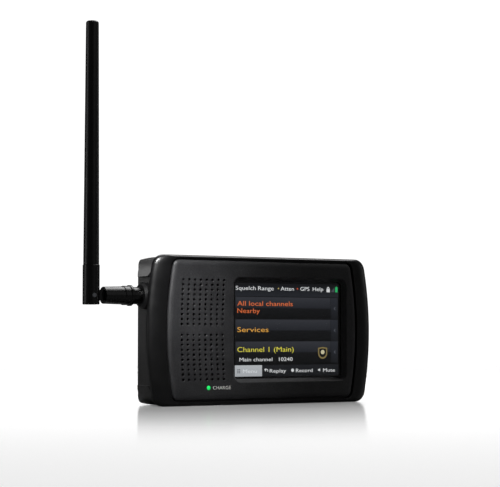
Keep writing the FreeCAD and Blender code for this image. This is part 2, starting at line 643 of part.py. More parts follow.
def rear_casing():
    """Shell with side recesses, battery bay, screw tubes and holes for every control."""
    shell = casing_form(0).cut(casing_hollow())
    bay = bay_box(BAY_WALL, BAY_DEPTH - BAY_WALL, DOOR_DEPTH - MOVE_GAP)
    tubes = [rod(TUBE_R, BODY_DEPTH - TUBE_START - WALL / 2, V(x, depth(TUBE_START), z), ALONG_Y)
             for x, z in screw_places()]
    pillars = [rod(PILLAR_R, BODY_DEPTH - BOARD_BACK - WALL / 2, V(x, depth(BOARD_BACK), z), ALONG_Y)
               for x, z in board_screw_places()]
    shell = joined(shell, bay.common(casing_form(0)), *[t.common(casing_form(0)) for t in tubes + pillars])
    cuts = [recess(side, RECESS_FLOOR, RECESS_LOW, RECESS_HIGH) for side in (-1, 1)]
    cuts.append(bay_box(0, BAY_DEPTH, BODY_DEPTH + 1))
    cuts.append(door_plate(MOVE_GAP, DOOR_DEPTH - MOVE_GAP, BODY_DEPTH + 1, BODY_HEIGHT + 1))
    for x, z in screw_places():
        cuts.append(rod(SCREW_R + FIT_GAP, BODY_DEPTH, V(x, depth(0), z), ALONG_Y))
        cuts.append(rod(SCREW_HEAD_R + FIT_GAP, BODY_DEPTH, V(x, depth(SCREW_HEAD_DEPTH), z), ALONG_Y))
    cuts += [rod(SCREW_R + THREAD_GAP, BOARD_SCREW_LENGTH, V(x, depth(BOARD_BACK) - 0.1, z), ALONG_Y)
             for x, z in board_screw_places()]
    for cut in cuts + control_holes():
        shell = shell.cut(cut)
    return max(shell.Solids, key=lambda s: s.Volume)


def casing_hollow():
    """The casing's inside, kept clear of the recess floors."""
    hollow = casing_form(WALL)
    front = depth(CASING_FRONT_DEPTH)
    for side in (-1, 1):
        x = sorted((side * (RECESS_FLOOR - WALL), side * BODY_HALF_WIDTH))
        hollow = hollow.cut(box(x, (front - 1, depth(BODY_DEPTH)), (RECESS_LOW - WALL, RECESS_HIGH + WALL)))
    return hollow


def battery_door():
    """Plate that slides up out of the back, with grip ribs near its top."""
    plate = door_plate(0, DOOR_DEPTH, BODY_DEPTH - FIT_GAP, CASING_BACK_HIGH)
    cut = (depth(BODY_DEPTH - DOOR_GROOVE), depth(BODY_DEPTH + 1))
    heights = [CASING_BACK_HIGH - DOOR_GRIP_DROP - 2 * DOOR_GROOVE * n for n in range(DOOR_GROOVES)]
    grooves = [box((-DOOR_GRIP_HALF, DOOR_GRIP_HALF), cut, (z, z + DOOR_GROOVE)) for z in heights]
    return plate.cut(Part.makeCompound(grooves))


# --- batteries --------------------------------------------------------------------------------
def cell_axis(number):
    """The middle of the low end of a cell's body."""
    x = (number - (CELL_COUNT - 1) / 2) * CELL_PITCH
    return V(x, depth(BAY_DEPTH + BAY_FLOOR_GAP + CELL_R), BAY_LOW + CONTACT_THICKNESS + SPRING_LENGTH)


def battery_cell(number):
    body = rod(CELL_R, CELL_LENGTH, cell_axis(number), ALONG_Z)
    body = body.makeFillet(CELL_EDGE_R, [e for e in body.Edges if isinstance(e.Curve, Part.Circle)])
    nub = rod(CELL_NUB_R, CELL_NUB_LENGTH + 0.5, cell_axis(number) + V(0, 0, CELL_LENGTH - 0.5), ALONG_Z)
    return joined(body, nub)


def battery_springs():
    """A coil under each cell: level turns, each joined to the next by a short riser."""
    coils = []
    radius = CELL_NUB_R + SPRING_SPREAD
    pitch = (SPRING_LENGTH - 2 * SPRING_WIRE_R - FIT_GAP) / (SPRING_TURNS - 1)
    for number in range(CELL_COUNT):
        foot = cell_axis(number) - V(0, 0, SPRING_LENGTH - SPRING_WIRE_R)
        turns = [Part.makeTorus(radius, SPRING_WIRE_R, foot + V(0, 0, pitch * n), ALONG_Z)
                 for n in range(SPRING_TURNS)]
        risers = [rod(SPRING_RISER_R, pitch, foot + V(radius * (-1) ** n, 0, pitch * n), ALONG_Z)
                  for n in range(SPRING_TURNS - 1)]
        coils.append(joined(*turns, *risers))
    return Part.makeCompound(coils)


def battery_contacts():
    """Sprung plates at both ends of the bay, one pair for each cell."""
    plates = []
    half, back = CONTACT_HALF_WIDTH, CELL_R
    for number in range(CELL_COUNT):
        centre = cell_axis(number)
        for z in (BAY_LOW, BAY_HIGH - CONTACT_THICKNESS):
            plates.append(box((centre.x - half, centre.x + half), (centre.y - back, centre.y + half),
                              (z, z + CONTACT_THICKNESS)))
    return Part.makeCompound(plates)


# --- antenna ----------------------------------------------------------------------------------
def on_antenna_axis(x):
    return V(x, depth(ANTENNA_DEPTH), ANTENNA_Z)


def antenna_seat():
    """Moulded ring on the left recess floor that the antenna screws up to."""
    profile = [(0, JACK_R + FIT_GAP), (0, SEAT_R), (SEAT_HEIGHT - SEAT_SLOPE, SEAT_R),
               (SEAT_HEIGHT, SEAT_R - SEAT_SLOPE),
               (SEAT_HEIGHT, JACK_R + FIT_GAP)]
    return revolved(profile, on_antenna_axis(-RECESS_FLOOR), -ALONG_X)


def antenna_jack():
    """Coaxial socket through the casing wall, with its nut inside and a hollow contact."""
    outer_end = SEAT_FACE_X - JACK_OUT
    barrel = rod(JACK_R, JACK_IN + WALL + SEAT_HEIGHT + JACK_OUT, on_antenna_axis(outer_end), ALONG_X)
    return barrel.cut(rod(JACK_BORE_R, JACK_OUT + SEAT_HEIGHT, on_antenna_axis(outer_end), ALONG_X))


def hexagon(across_flats, thickness, start, bore):
    """A hexagonal nut on the antenna's axis."""
    radius = across_flats / math.sqrt(3)
    points = [start + V(0, radius * math.cos(math.radians(60 * n)), radius * math.sin(math.radians(60 * n)))
              for n in range(7)]
    nut = Part.Face(Part.makePolygon(points)).extrude(V(thickness, 0, 0))
    return nut.cut(rod(bore, thickness + 2, start - V(1, 0, 0), ALONG_X))


def jack_nut():
    return hexagon(NUT_FLATS, NUT_THICKNESS, on_antenna_axis(-RECESS_FLOOR + WALL), JACK_R + THREAD_GAP)


def antenna_collar():
    """Barrel that turns on the jack."""
    barrel = rod(COLLAR_R, COLLAR_LENGTH, on_antenna_axis(COLLAR_END_X), ALONG_X)
    bore = rod(JACK_R + RUN_FIT, COLLAR_LENGTH, on_antenna_axis(SEAT_FACE_X - JACK_OUT - FIT_GAP), ALONG_X)
    return barrel.cut(bore)


def antenna_ring():
    """Rounded ring between the collar and the arm."""
    ring = rod(RING_R, RING_LENGTH, on_antenna_axis(ARM_ROOT_X), ALONG_X)
    return ring.makeFillet(RING_EDGE_R, [e for e in ring.Edges if isinstance(e.Curve, Part.Circle)])


def antenna_arm():
    """Tapered arm with a flat tongue for the fold pin."""
    profile = [(0, 0), (0, STEP_R), (STEP_LENGTH - STEP_DROP, STEP_R), (STEP_LENGTH, STEP_R - STEP_DROP),
               (ARM_LENGTH, ARM_SMALL_R), (ARM_LENGTH, 0)]
    arm = revolved(profile, on_antenna_axis(ARM_ROOT_X), -ALONG_X)
    y = depth(ANTENNA_DEPTH)
    neck = box((FOLD_X, ARM_TIP_X + 1), (y - TONGUE_HALF, y + TONGUE_HALF),
               (ANTENNA_Z - NECK_HALF, ANTENNA_Z + NECK_HALF))
    eye = rod(TONGUE_R, 2 * TONGUE_HALF, on_antenna_axis(FOLD_X) - V(0, TONGUE_HALF, 0), ALONG_Y)
    hole = rod(PIN_R + RUN_FIT, 4 * BASE_R, on_antenna_axis(FOLD_X) - V(0, 2 * BASE_R, 0), ALONG_Y)
    return joined(arm, neck, eye).cut(hole)


def swivel_base():
    """Foot of the whip: a short barrel slotted for the arm's tongue and drilled for the pin."""
    barrel = rod(BASE_R, BASE_LOW + BASE_HIGH, on_antenna_axis(FOLD_X) - V(0, 0, BASE_LOW), ALONG_Z)
    barrel = barrel.makeFillet(BASE_EDGE_R, [e for e in barrel.Edges if isinstance(e.Curve, Part.Circle)])
    slot_y, slot_r = TONGUE_HALF + MOVE_GAP, TONGUE_R + MOVE_GAP
    slot = box((FOLD_X - slot_r, FOLD_X + 2 * BASE_R),
               (depth(ANTENNA_DEPTH) - slot_y, depth(ANTENNA_DEPTH) + slot_y),
               (ANTENNA_Z - 2 * BASE_LOW, ANTENNA_Z + slot_r))
    pin_hole = rod(PIN_R, 4 * BASE_R, on_antenna_axis(FOLD_X) - V(0, 2 * BASE_R, 0), ALONG_Y)
    socket = rod(SPIGOT_R + FIT_GAP, SPIGOT_LENGTH + 1,
                 on_antenna_axis(FOLD_X) + V(0, 0, BASE_HIGH - SPIGOT_LENGTH - FIT_GAP), ALONG_Z)
    return barrel.cut(slot).cut(pin_hole).cut(socket)


def fold_pin():
    half = math.sqrt(BASE_R ** 2 - PIN_R ** 2)
    return rod(PIN_R, 2 * half, on_antenna_axis(FOLD_X) - V(0, half, 0), ALONG_Y)


def antenna_whip():
    """Tapered rubber-covered rod with a rounded tip and a spigot in the swivel base."""
    low = ANTENNA_Z + BASE_HIGH
    profile = [(0, 0), (0, WHIP_BOTTOM_R), (WHIP_LENGTH, WHIP_TIP_R), (WHIP_LENGTH, 0)]
    rod_shape = revolved(profile, V(FOLD_X, depth(ANTENNA_DEPTH), low), ALONG_Z)
    tip = [e for e in rod_shape.Edges if isinstance(e.Curve, Part.Circle)
           and e.BoundBox.ZMin > low + WHIP_LENGTH / 2]
    rod_shape = rod_shape.makeFillet(WHIP_TIP_ROUND, tip)
    spigot = rod(SPIGOT_R, SPIGOT_LENGTH, V(FOLD_X, depth(ANTENNA_DEPTH), low - SPIGOT_LENGTH), ALONG_Z)
    return joined(rod_shape, spigot)


# --- controls and sockets ---------------------------------------------------------------------
def pill(x, y, z, half_width, half_length):
    """A bar along X whose section is a slot shape standing on end."""
    return round_box(x, (y - half_width, y + half_width), (z - half_length, z + half_length),
                     half_width - 0.01, ALONG_X)


def power_button():
    """Cap that stands out of the right recess, with a flange that keeps it in."""
    inner = RECESS_FLOOR - WALL - MOVE_GAP
    y = depth(CONTROL_DEPTH)
    cap = pill((inner - 1, RECESS_FLOOR + BUTTON_OUT), y, BUTTON_Z, BUTTON_HALF_WIDTH, BUTTON_HALF_LENGTH)
    flange = pill((inner - BUTTON_FLANGE_THICKNESS, inner), y, BUTTON_Z, BUTTON_HALF_WIDTH + BUTTON_FLANGE,
                  BUTTON_HALF_LENGTH + BUTTON_FLANGE)
    return joined(cap, flange)


def power_switch():
    """Small press switch behind the button, soldered to the edge of the board."""
    front = RECESS_FLOOR - WALL - 2 * MOVE_GAP - BUTTON_FLANGE_THICKNESS - BUTTON_TRAVEL
    half, y = SWITCH_SIZE / 2, depth(CONTROL_DEPTH)
    face = front - SWITCH_PLUNGER
    body = box((BOARD_HALF_WIDTH, face), (y - half, y + half), (BUTTON_Z - half, BUTTON_Z + half))
    plunger = rod(SWITCH_PLUNGER_R, 2 * SWITCH_PLUNGER, V(face - SWITCH_PLUNGER, y, BUTTON_Z), ALONG_X)
    return joined(body, plunger)


def volume_knob():
    """Knurled knob on the right recess floor."""
    start = V(RECESS_FLOOR + MOVE_GAP, depth(CONTROL_DEPTH), KNOB_Z)
    knob = rod(KNOB_R, KNOB_HEIGHT, start, ALONG_X)
    knob = knob.makeChamfer(KNOB_EDGE, [e for e in knob.Edges if isinstance(e.Curve, Part.Circle)
                                  and e.BoundBox.XMin > RECESS_FLOOR + KNOB_HEIGHT / 2])
    angles = [2 * math.pi * n / KNOB_FLUTES for n in range(KNOB_FLUTES)]
    flutes = [rod(KNOB_FLUTE_R, KNOB_HEIGHT + 2,
                  start + V(-1, KNOB_R * math.cos(a), KNOB_R * math.sin(a)), ALONG_X) for a in angles]
    return knob.cut(Part.makeCompound(flutes)).cut(rod(KNOB_SHAFT_R, KNOB_HEIGHT / 2, start, ALONG_X))


def knob_shaft():
    """Shaft from inside the encoder to the middle of the knob."""
    start = RECESS_FLOOR - WALL - MOVE_GAP - ENCODER_LENGTH + ENCODER_FLOOR
    return rod(KNOB_SHAFT_R, RECESS_FLOOR + MOVE_GAP + KNOB_HEIGHT / 2 - start,
               V(start, depth(CONTROL_DEPTH), KNOB_Z), ALONG_X)


def volume_encoder():
    """Rotary encoder that the knob's shaft turns in."""
    end, half, y = RECESS_FLOOR - WALL - MOVE_GAP, ENCODER_SIZE / 2, depth(CONTROL_DEPTH)
    body = box((end - ENCODER_LENGTH, end), (y - half, y + half), (KNOB_Z - half, KNOB_Z + half))
    bore = rod(KNOB_SHAFT_R + RUN_FIT, ENCODER_LENGTH,
               V(end - ENCODER_LENGTH + ENCODER_FLOOR - FIT_GAP, y, KNOB_Z), ALONG_X)
    return body.cut(bore)


def audio_jack(z):
    """Round 3.5 mm socket lying on the front of the board, mouth in the right recess floor."""
    y = depth(BOARD_DEPTH - SOCKET_R)
    barrel = rod(SOCKET_R, SOCKET_LENGTH, V(RECESS_FLOOR - SOCKET_LENGTH, y, z), ALONG_X)
    mouth = rod(PLUG_HOLE_R, SOCKET_LENGTH, V(RECESS_FLOOR - SOCKET_LENGTH + SOCKET_END, y, z), ALONG_X)
    return barrel.cut(mouth)


def usb_shell(grow, start, end):
    y = depth(BOARD_DEPTH - USB_HALF_HEIGHT - USB_SHELL)
    half_y, half_z = USB_HALF_HEIGHT + grow, USB_HALF_WIDTH + grow
    return round_box((start, end), (y - half_y, y + half_y), (USB_Z - half_z, USB_Z + half_z),
                     USB_CORNER_R + grow / 2, ALONG_X)


def usb_jack():
    """Small flat socket for power and data."""
    end, start = RECESS_FLOOR, RECESS_FLOOR - USB_LENGTH
    shell = usb_shell(USB_SHELL, start, end).cut(usb_shell(0, start + 1, end + 1))
    y = depth(BOARD_DEPTH - USB_HALF_HEIGHT - USB_SHELL)
    tongue = box((start, end - USB_TONGUE_INSET), (y - USB_TONGUE_HALF, y + USB_TONGUE_HALF),
                 (USB_Z - USB_HALF_WIDTH + USB_TONGUE_INSET, USB_Z + USB_HALF_WIDTH - USB_TONGUE_INSET))
    return joined(shell, tongue)


def control_holes():
    """Openings in the casing for the antenna jack, button, knob shaft and sockets."""
    x0, x1, y = RECESS_FLOOR - WALL - 1, RECESS_FLOOR + 1, depth(CONTROL_DEPTH)
    through = (x0, x1)
    holes = [pill(through, y, BUTTON_Z, BUTTON_HALF_WIDTH + MOVE_GAP, BUTTON_HALF_LENGTH + MOVE_GAP),
             rod(KNOB_SHAFT_R + MOVE_GAP, x1 - x0, V(x0, y, KNOB_Z), ALONG_X),
             rod(JACK_R + FIT_GAP, x1 - x0, on_antenna_axis(-x1), ALONG_X),
             usb_shell(USB_SHELL + FIT_GAP, x0, x1)]
    holes += [rod(SOCKET_R + FIT_GAP, x1 - x0, V(x0, depth(BOARD_DEPTH - SOCKET_R), z), ALONG_X)
              for z in (PHONE_Z, RECORD_Z)]
    return holes


# --- screws -----------------------------------------------------------------------------------
def screw(x, z, head_depth, length, towards):
    """A pan-head screw; it points along Y, forwards or backwards."""
    seat = V(x, depth(head_depth), z)
    shank = rod(SCREW_R, length, seat, ALONG_Y * towards)
    head = rod(SCREW_HEAD_R, SCREW_HEAD_HEIGHT, seat, ALONG_Y * -towards)
    slot_y = sorted(seat.y - towards * height for height in (SCREW_HEAD_HEIGHT - SLOT_DEPTH,
                                                             2 * SCREW_HEAD_HEIGHT))
    arms = ((SLOT_HALF_LENGTH, SLOT_HALF_WIDTH), (SLOT_HALF_WIDTH, SLOT_HALF_LENGTH))
    cross = [box((x - a, x + a), slot_y, (z - b, z + b)) for a, b in arms]
    return joined(shank, head).cut(joined(*cross))


def case_screws():
    length = SCREW_HEAD_DEPTH - PANEL_THICKNESS - FIT_GAP
    return Part.makeCompound([screw(x, z, SCREW_HEAD_DEPTH, length, -1) for x, z in screw_places()])


def board_screws():
    screws = [screw(x, z, BOARD_DEPTH, BOARD_SCREW_LENGTH, 1) for x, z in board_screw_places()]
    return Part.makeCompound(screws)


PIECES = {
    "front_frame": front_frame,
    "front_panel": front_panel,
    "grille_cloth": grille_cloth,
    "speaker_frame": speaker_frame,
    "speaker_cone": speaker_cone,
    "speaker_magnet": speaker_magnet,
    "charge_light": light_pipe,
    "window_gasket": gasket,
    "touch_panel": touch_panel,
    "display": display,
    "display_bracket": display_bracket,
    "display_ribbon": display_ribbon,
    "main_board": main_board,
    "board_chips": board_chips,
    "radio_shield": radio_shield,
    "card_socket": card_socket,
    "memory_card": memory_card,
    "rear_casing": rear_casing,
    "battery_door": battery_door,
    "battery_springs": battery_springs,
    "battery_contacts": battery_contacts,
    "antenna_seat": antenna_seat,
    "antenna_jack": antenna_jack,
    "jack_nut": jack_nut,
    "antenna_collar": antenna_collar,
    "antenna_ring": antenna_ring,
    "antenna_arm": antenna_arm,
    "swivel_base": swivel_base,
    "fold_pin": fold_pin,
    "antenna_whip": antenna_whip,
    "power_button": power_button,
    "power_switch": power_switch,
    "volume_knob": volume_knob,
    "knob_shaft": knob_shaft,
    "volume_encoder": volume_encoder,
    "usb_jack": usb_jack,
    "case_screws": case_screws,
    "board_screws": board_screws,
}


def main():
    os.makedirs("parts", exist_ok=True)
    for name, make in PIECES.items():
        save(name, make())
    for number in range(CELL_COUNT):
        save(f"battery_cell_{number + 1}", battery_cell(number))
    save("headphone_jack", audio_jack(PHONE_Z))
    save("record_jack", audio_jack(RECORD_Z))


main()
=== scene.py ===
"""Looks of a handheld touch-screen radio scanner with a folding antenna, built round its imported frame."""

import logging
import math
from collections.abc import Sequence
from dataclasses import dataclass
from enum import Enum

import bmesh
import bpy
from mathutils import Euler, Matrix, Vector


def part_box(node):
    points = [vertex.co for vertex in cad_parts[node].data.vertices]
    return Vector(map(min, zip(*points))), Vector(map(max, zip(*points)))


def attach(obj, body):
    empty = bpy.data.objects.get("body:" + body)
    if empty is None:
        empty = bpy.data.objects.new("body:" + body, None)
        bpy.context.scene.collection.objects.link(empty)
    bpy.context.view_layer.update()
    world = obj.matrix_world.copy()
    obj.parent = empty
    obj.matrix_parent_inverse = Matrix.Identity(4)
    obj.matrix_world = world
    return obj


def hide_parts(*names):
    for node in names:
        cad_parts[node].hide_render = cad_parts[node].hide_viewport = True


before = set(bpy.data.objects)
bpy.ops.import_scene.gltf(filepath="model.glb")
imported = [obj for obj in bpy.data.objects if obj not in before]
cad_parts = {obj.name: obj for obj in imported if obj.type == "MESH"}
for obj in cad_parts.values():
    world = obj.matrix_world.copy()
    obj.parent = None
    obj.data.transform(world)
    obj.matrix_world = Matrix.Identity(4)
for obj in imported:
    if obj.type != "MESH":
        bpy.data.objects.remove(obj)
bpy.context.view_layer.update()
LOG = logging.getLogger("scanner")
MM = 0.001
NOISE_SPAN = (0.3, 0.7)
CAPITAL_SHARE = 0.73

Point = tuple[float, float, float]
Flat = tuple[float, float]


class Body(Enum):
    """The bodies that a piece can ride on."""

    SCANNER = "scanner_body"
    DOOR = "battery_door"
    ARM = "antenna_arm"
    WHIP = "antenna_whip"
    BUTTON = "power_button"
    KNOB = "volume_knob"


# --- colour and nodes ---------------------------------------------------------------------------
def linear(colour: str) -> tuple[float, float, float, float]:
    """Turns an sRGB colour into the linear one that shaders use.

    Args:
        colour: six hex digits with a leading #.

    Returns:
        Linear red, green, blue and an alpha of 1.
    """
    values = [int(colour[i:i + 2], 16) / 255 for i in (1, 3, 5)]
    parts = [v / 12.92 if v <= 0.04045 else ((v + 0.055) / 1.055) ** 2.4 for v in values]
    return parts[0], parts[1], parts[2], 1.0


def add(tree: bpy.types.NodeTree, kind: str, inputs: dict | None = None, **settings) -> bpy.types.Node:
    """Adds a node to a shader or geometry tree.

    Args:
        tree: the tree that gets the node.
        kind: the node's type name.
        inputs: socket name or number to a value, or to an output socket that is linked to it.
        **settings: the node's own properties.

    Returns:
        The new node.
    """
    made = tree.nodes.new(kind)
    for name, value in settings.items():
        setattr(made, name, value)
    for key, value in (inputs or {}).items():
        if isinstance(value, bpy.types.NodeSocket):
            tree.links.new(value, made.inputs[key])
        else:
            made.inputs[key].default_value = value
    return made


def empty_material(name: str) -> tuple[bpy.types.Material, bpy.types.NodeTree]:
    """Makes a material with nothing in its tree.

    Args:
        name: the finish's plain name.

    Returns:
        The material and its node tree.
    """
    material = bpy.data.materials.new(name)
    material.use_nodes = True
    material.node_tree.nodes.clear()
    return material, material.node_tree


def object_place(tree: bpy.types.NodeTree) -> bpy.types.NodeSocket:
    """The place on the object, in metres."""
    return add(tree, "ShaderNodeTexCoord").outputs["Object"]


def work(tree: bpy.types.NodeTree, way: str, first: object, second: object = 0.0) -> bpy.types.NodeSocket:
    """The result of one step of arithmetic on two values or sockets."""
    return add(tree, "ShaderNodeMath", {0: first, 1: second}, operation=way).outputs[0]


def remap(tree: bpy.types.NodeTree, value: bpy.types.NodeSocket, span: Flat, result: Flat = (0.0, 1.0),
          way: str = "LINEAR") -> bpy.types.NodeSocket:
    """Maps a value from one range onto another and holds it at the ends.

    Args:
        tree: the tree that gets the node.
        value: the socket with the value.
        span: the range that it comes from.
        result: what the two ends of that range become.
        way: how it runs between them.

    Returns:
        The socket with the result.
    """
    ends = {"From Min": span[0], "From Max": span[1], "To Min": result[0], "To Max": result[1]}
    return add(tree, "ShaderNodeMapRange", {"Value": value} | ends, interpolation_type=way).outputs["Result"]


def blend(tree: bpy.types.NodeTree, share: bpy.types.NodeSocket, first: str,
          second: str) -> bpy.types.NodeSocket:
    """The socket of a colour that runs from one hex colour to another as a share goes from 0 to 1."""
    return add(tree, "ShaderNodeMix", {"Factor": share, "A": linear(first), "B": linear(second)},
               data_type="RGBA").outputs["Result"]


def principled(tree: bpy.types.NodeTree, inputs: dict) -> None:
    """Ends a material's tree in a principled shader with the given inputs."""
    shader = add(tree, "ShaderNodeBsdfPrincipled", inputs)
    add(tree, "ShaderNodeOutputMaterial", {"Surface": shader.outputs[0]})


def per_metre(size_mm: float) -> float:
    """The texture scale that makes one pattern cell a given size in millimetres."""
    return 1.0 / (size_mm * MM)


# --- finishes -----------------------------------------------------------------------------------
@dataclass(frozen=True)
class Moulded:
    """A moulded plastic or rubber: a base colour with faint clouding, a gloss and a surface grain.

    The grain is the spark-eroded texture of the mould. Real grain is 0.1 to 0.2 mm across, too fine
    to show from a metre away, so it is drawn two or three times as coarse.
    """

    name: str
    dark: str
    light: str
    roughness: float
    grain_mm: float = 0.4
    grain_height_mm: float = 0.02
    gloss_spread: float = 0.08
    ior: float = 1.49
    specular: float = 0.5
    sheen: float = 0.0
    cloud_mm: float = 9.0

    def material(self) -> bpy.types.Material:
        """Builds the finish.

        Returns:
            The material.
        """
        material, tree = empty_material(self.name)
        place = object_place(tree)
        cloud = add(tree, "ShaderNodeTexNoise", {"Vector": place, "Scale": per_metre(self.cloud_mm),
                                                 "Detail": 3.0}).outputs["Fac"]
        grain = add(tree, "ShaderNodeTexNoise", {"Vector": place, "Scale": per_metre(self.grain_mm),
                                                 "Detail": 2.0, "Roughness": 0.6}).outputs["Fac"]
        pits = add(tree, "ShaderNodeTexVoronoi", {"Vector": place, "Scale": per_metre(self.grain_mm * 1.6)})
        height = work(tree, "ADD", grain, pits.outputs["Distance"])
        tone = work(tree, "MULTIPLY", remap(tree, grain, NOISE_SPAN), cloud)
        spread_half = self.gloss_spread / 2
        rough = remap(tree, cloud, NOISE_SPAN, (self.roughness - spread_half, self.roughness + spread_half))
        bump = add(tree, "ShaderNodeBump", {"Height": height, "Strength": 1.0,
                                            "Distance": self.grain_height_mm * MM})
        principled(tree, {"Base Color": blend(tree, tone, self.dark, self.light), "Roughness": rough,
                          "Normal": bump.outputs["Normal"], "IOR": self.ior,
                          "Specular IOR Level": self.specular, "Sheen Weight": self.sheen})
        return material


@dataclass(frozen=True)
class Metal:
    """A worked metal: its own colour, fine drawn or turned lines, and a satin or bright gloss."""

    name: str
    colour: str
    dull: str
    roughness: float
    line_mm: float = 0.25
    stretch: Point = (1.0, 1.0, 12.0)

    def material(self) -> bpy.types.Material:
        """Builds the finish.

        Returns:
            The material.
        """
        material, tree = empty_material(self.name)
        turned = add(tree, "ShaderNodeMapping", {"Vector": object_place(tree),
                                                 "Scale": self.stretch}).outputs[0]
        lines = add(tree, "ShaderNodeTexNoise", {"Vector": turned, "Scale": per_metre(self.line_mm * 8),
                                                 "Detail": 4.0}).outputs["Fac"]
        rough = remap(tree, lines, (0.0, 1.0), (self.roughness - 0.08, self.roughness + 0.12))
        bump = add(tree, "ShaderNodeBump", {"Height": lines, "Strength": 0.4, "Distance": 0.01 * MM})
        principled(tree, {"Base Color": blend(tree, lines, self.colour, self.dull), "Roughness": rough,
                          "Normal": bump.outputs["Normal"], "Metallic": 1.0})
        return material


@dataclass(frozen=True)
class Woven:
    """A woven dust cloth: two crossing sets of threads, seen as dark squares behind the holes."""

    name: str
    thread: str
    gap: str
    thread_mm: float = 0.25

    def material(self) -> bpy.types.Material:
        """Builds the finish.

        Returns:
            The material.
        """
        material, tree = empty_material(self.name)
        place = object_place(tree)
        scale = per_metre(self.thread_mm) / 2 / math.pi
        waves = [add(tree, "ShaderNodeTexWave", {"Vector": place, "Scale": scale}, bands_direction=way)
                 for way in ("X", "Z")]
        weave = work(tree, "MAXIMUM", waves[0].outputs["Fac"], waves[1].outputs["Fac"])
        bump = add(tree, "ShaderNodeBump", {"Height": weave, "Distance": 0.05 * MM})
        principled(tree, {"Base Color": blend(tree, weave, self.gap, self.thread), "Roughness": 0.85,
                          "Sheen Weight": 0.3, "Normal": bump.outputs["Normal"]})
        return material


@dataclass(frozen=True)
class Glass:
    """Polished touch panel glass: clear, with faint finger haze in its gloss."""

    name: str
    tint: str
    roughness: float = 0.02
    haze_mm: float = 14.0

    def material(self) -> bpy.types.Material:
        """Builds the finish.

        Returns:
            The material.
        """
        material, tree = empty_material(self.name)
        haze = add(tree, "ShaderNodeTexNoise", {"Vector": object_place(tree), "Detail": 4.0,
                                                "Scale": per_metre(self.haze_mm)}).outputs["Fac"]
        rough = remap(tree, haze, (0.45, 0.8), (0.0, self.roughness))
        principled(tree, {"Base Color": linear(self.tint), "Roughness": rough, "IOR": 1.5,
                          "Transmission Weight": 1.0})
        return material


@dataclass(frozen=True)
class Lit:
    """A lit area of the display or of a light: a colour that runs down to a second one."""

    name: str
    top: str
    bottom: str
    strength: float = 1.0
    high_mm: float = 0.0
    low_mm: float = 0.0

    def material(self) -> bpy.types.Material:
        """Builds the finish.

        Returns:
            The material.
        """
        material, tree = empty_material(self.name)
        height = add(tree, "ShaderNodeSeparateXYZ", {0: object_place(tree)}).outputs["Z"]
        low, high = self.low_mm * MM, self.high_mm * MM
        share = remap(tree, height, (low, high if high > low else low + MM))
        principled(tree, {"Base Color": linear("#050505"), "Roughness": 0.3,
                          "Emission Color": blend(tree, share, self.bottom, self.top),
                          "Emission Strength": self.strength})
        return material


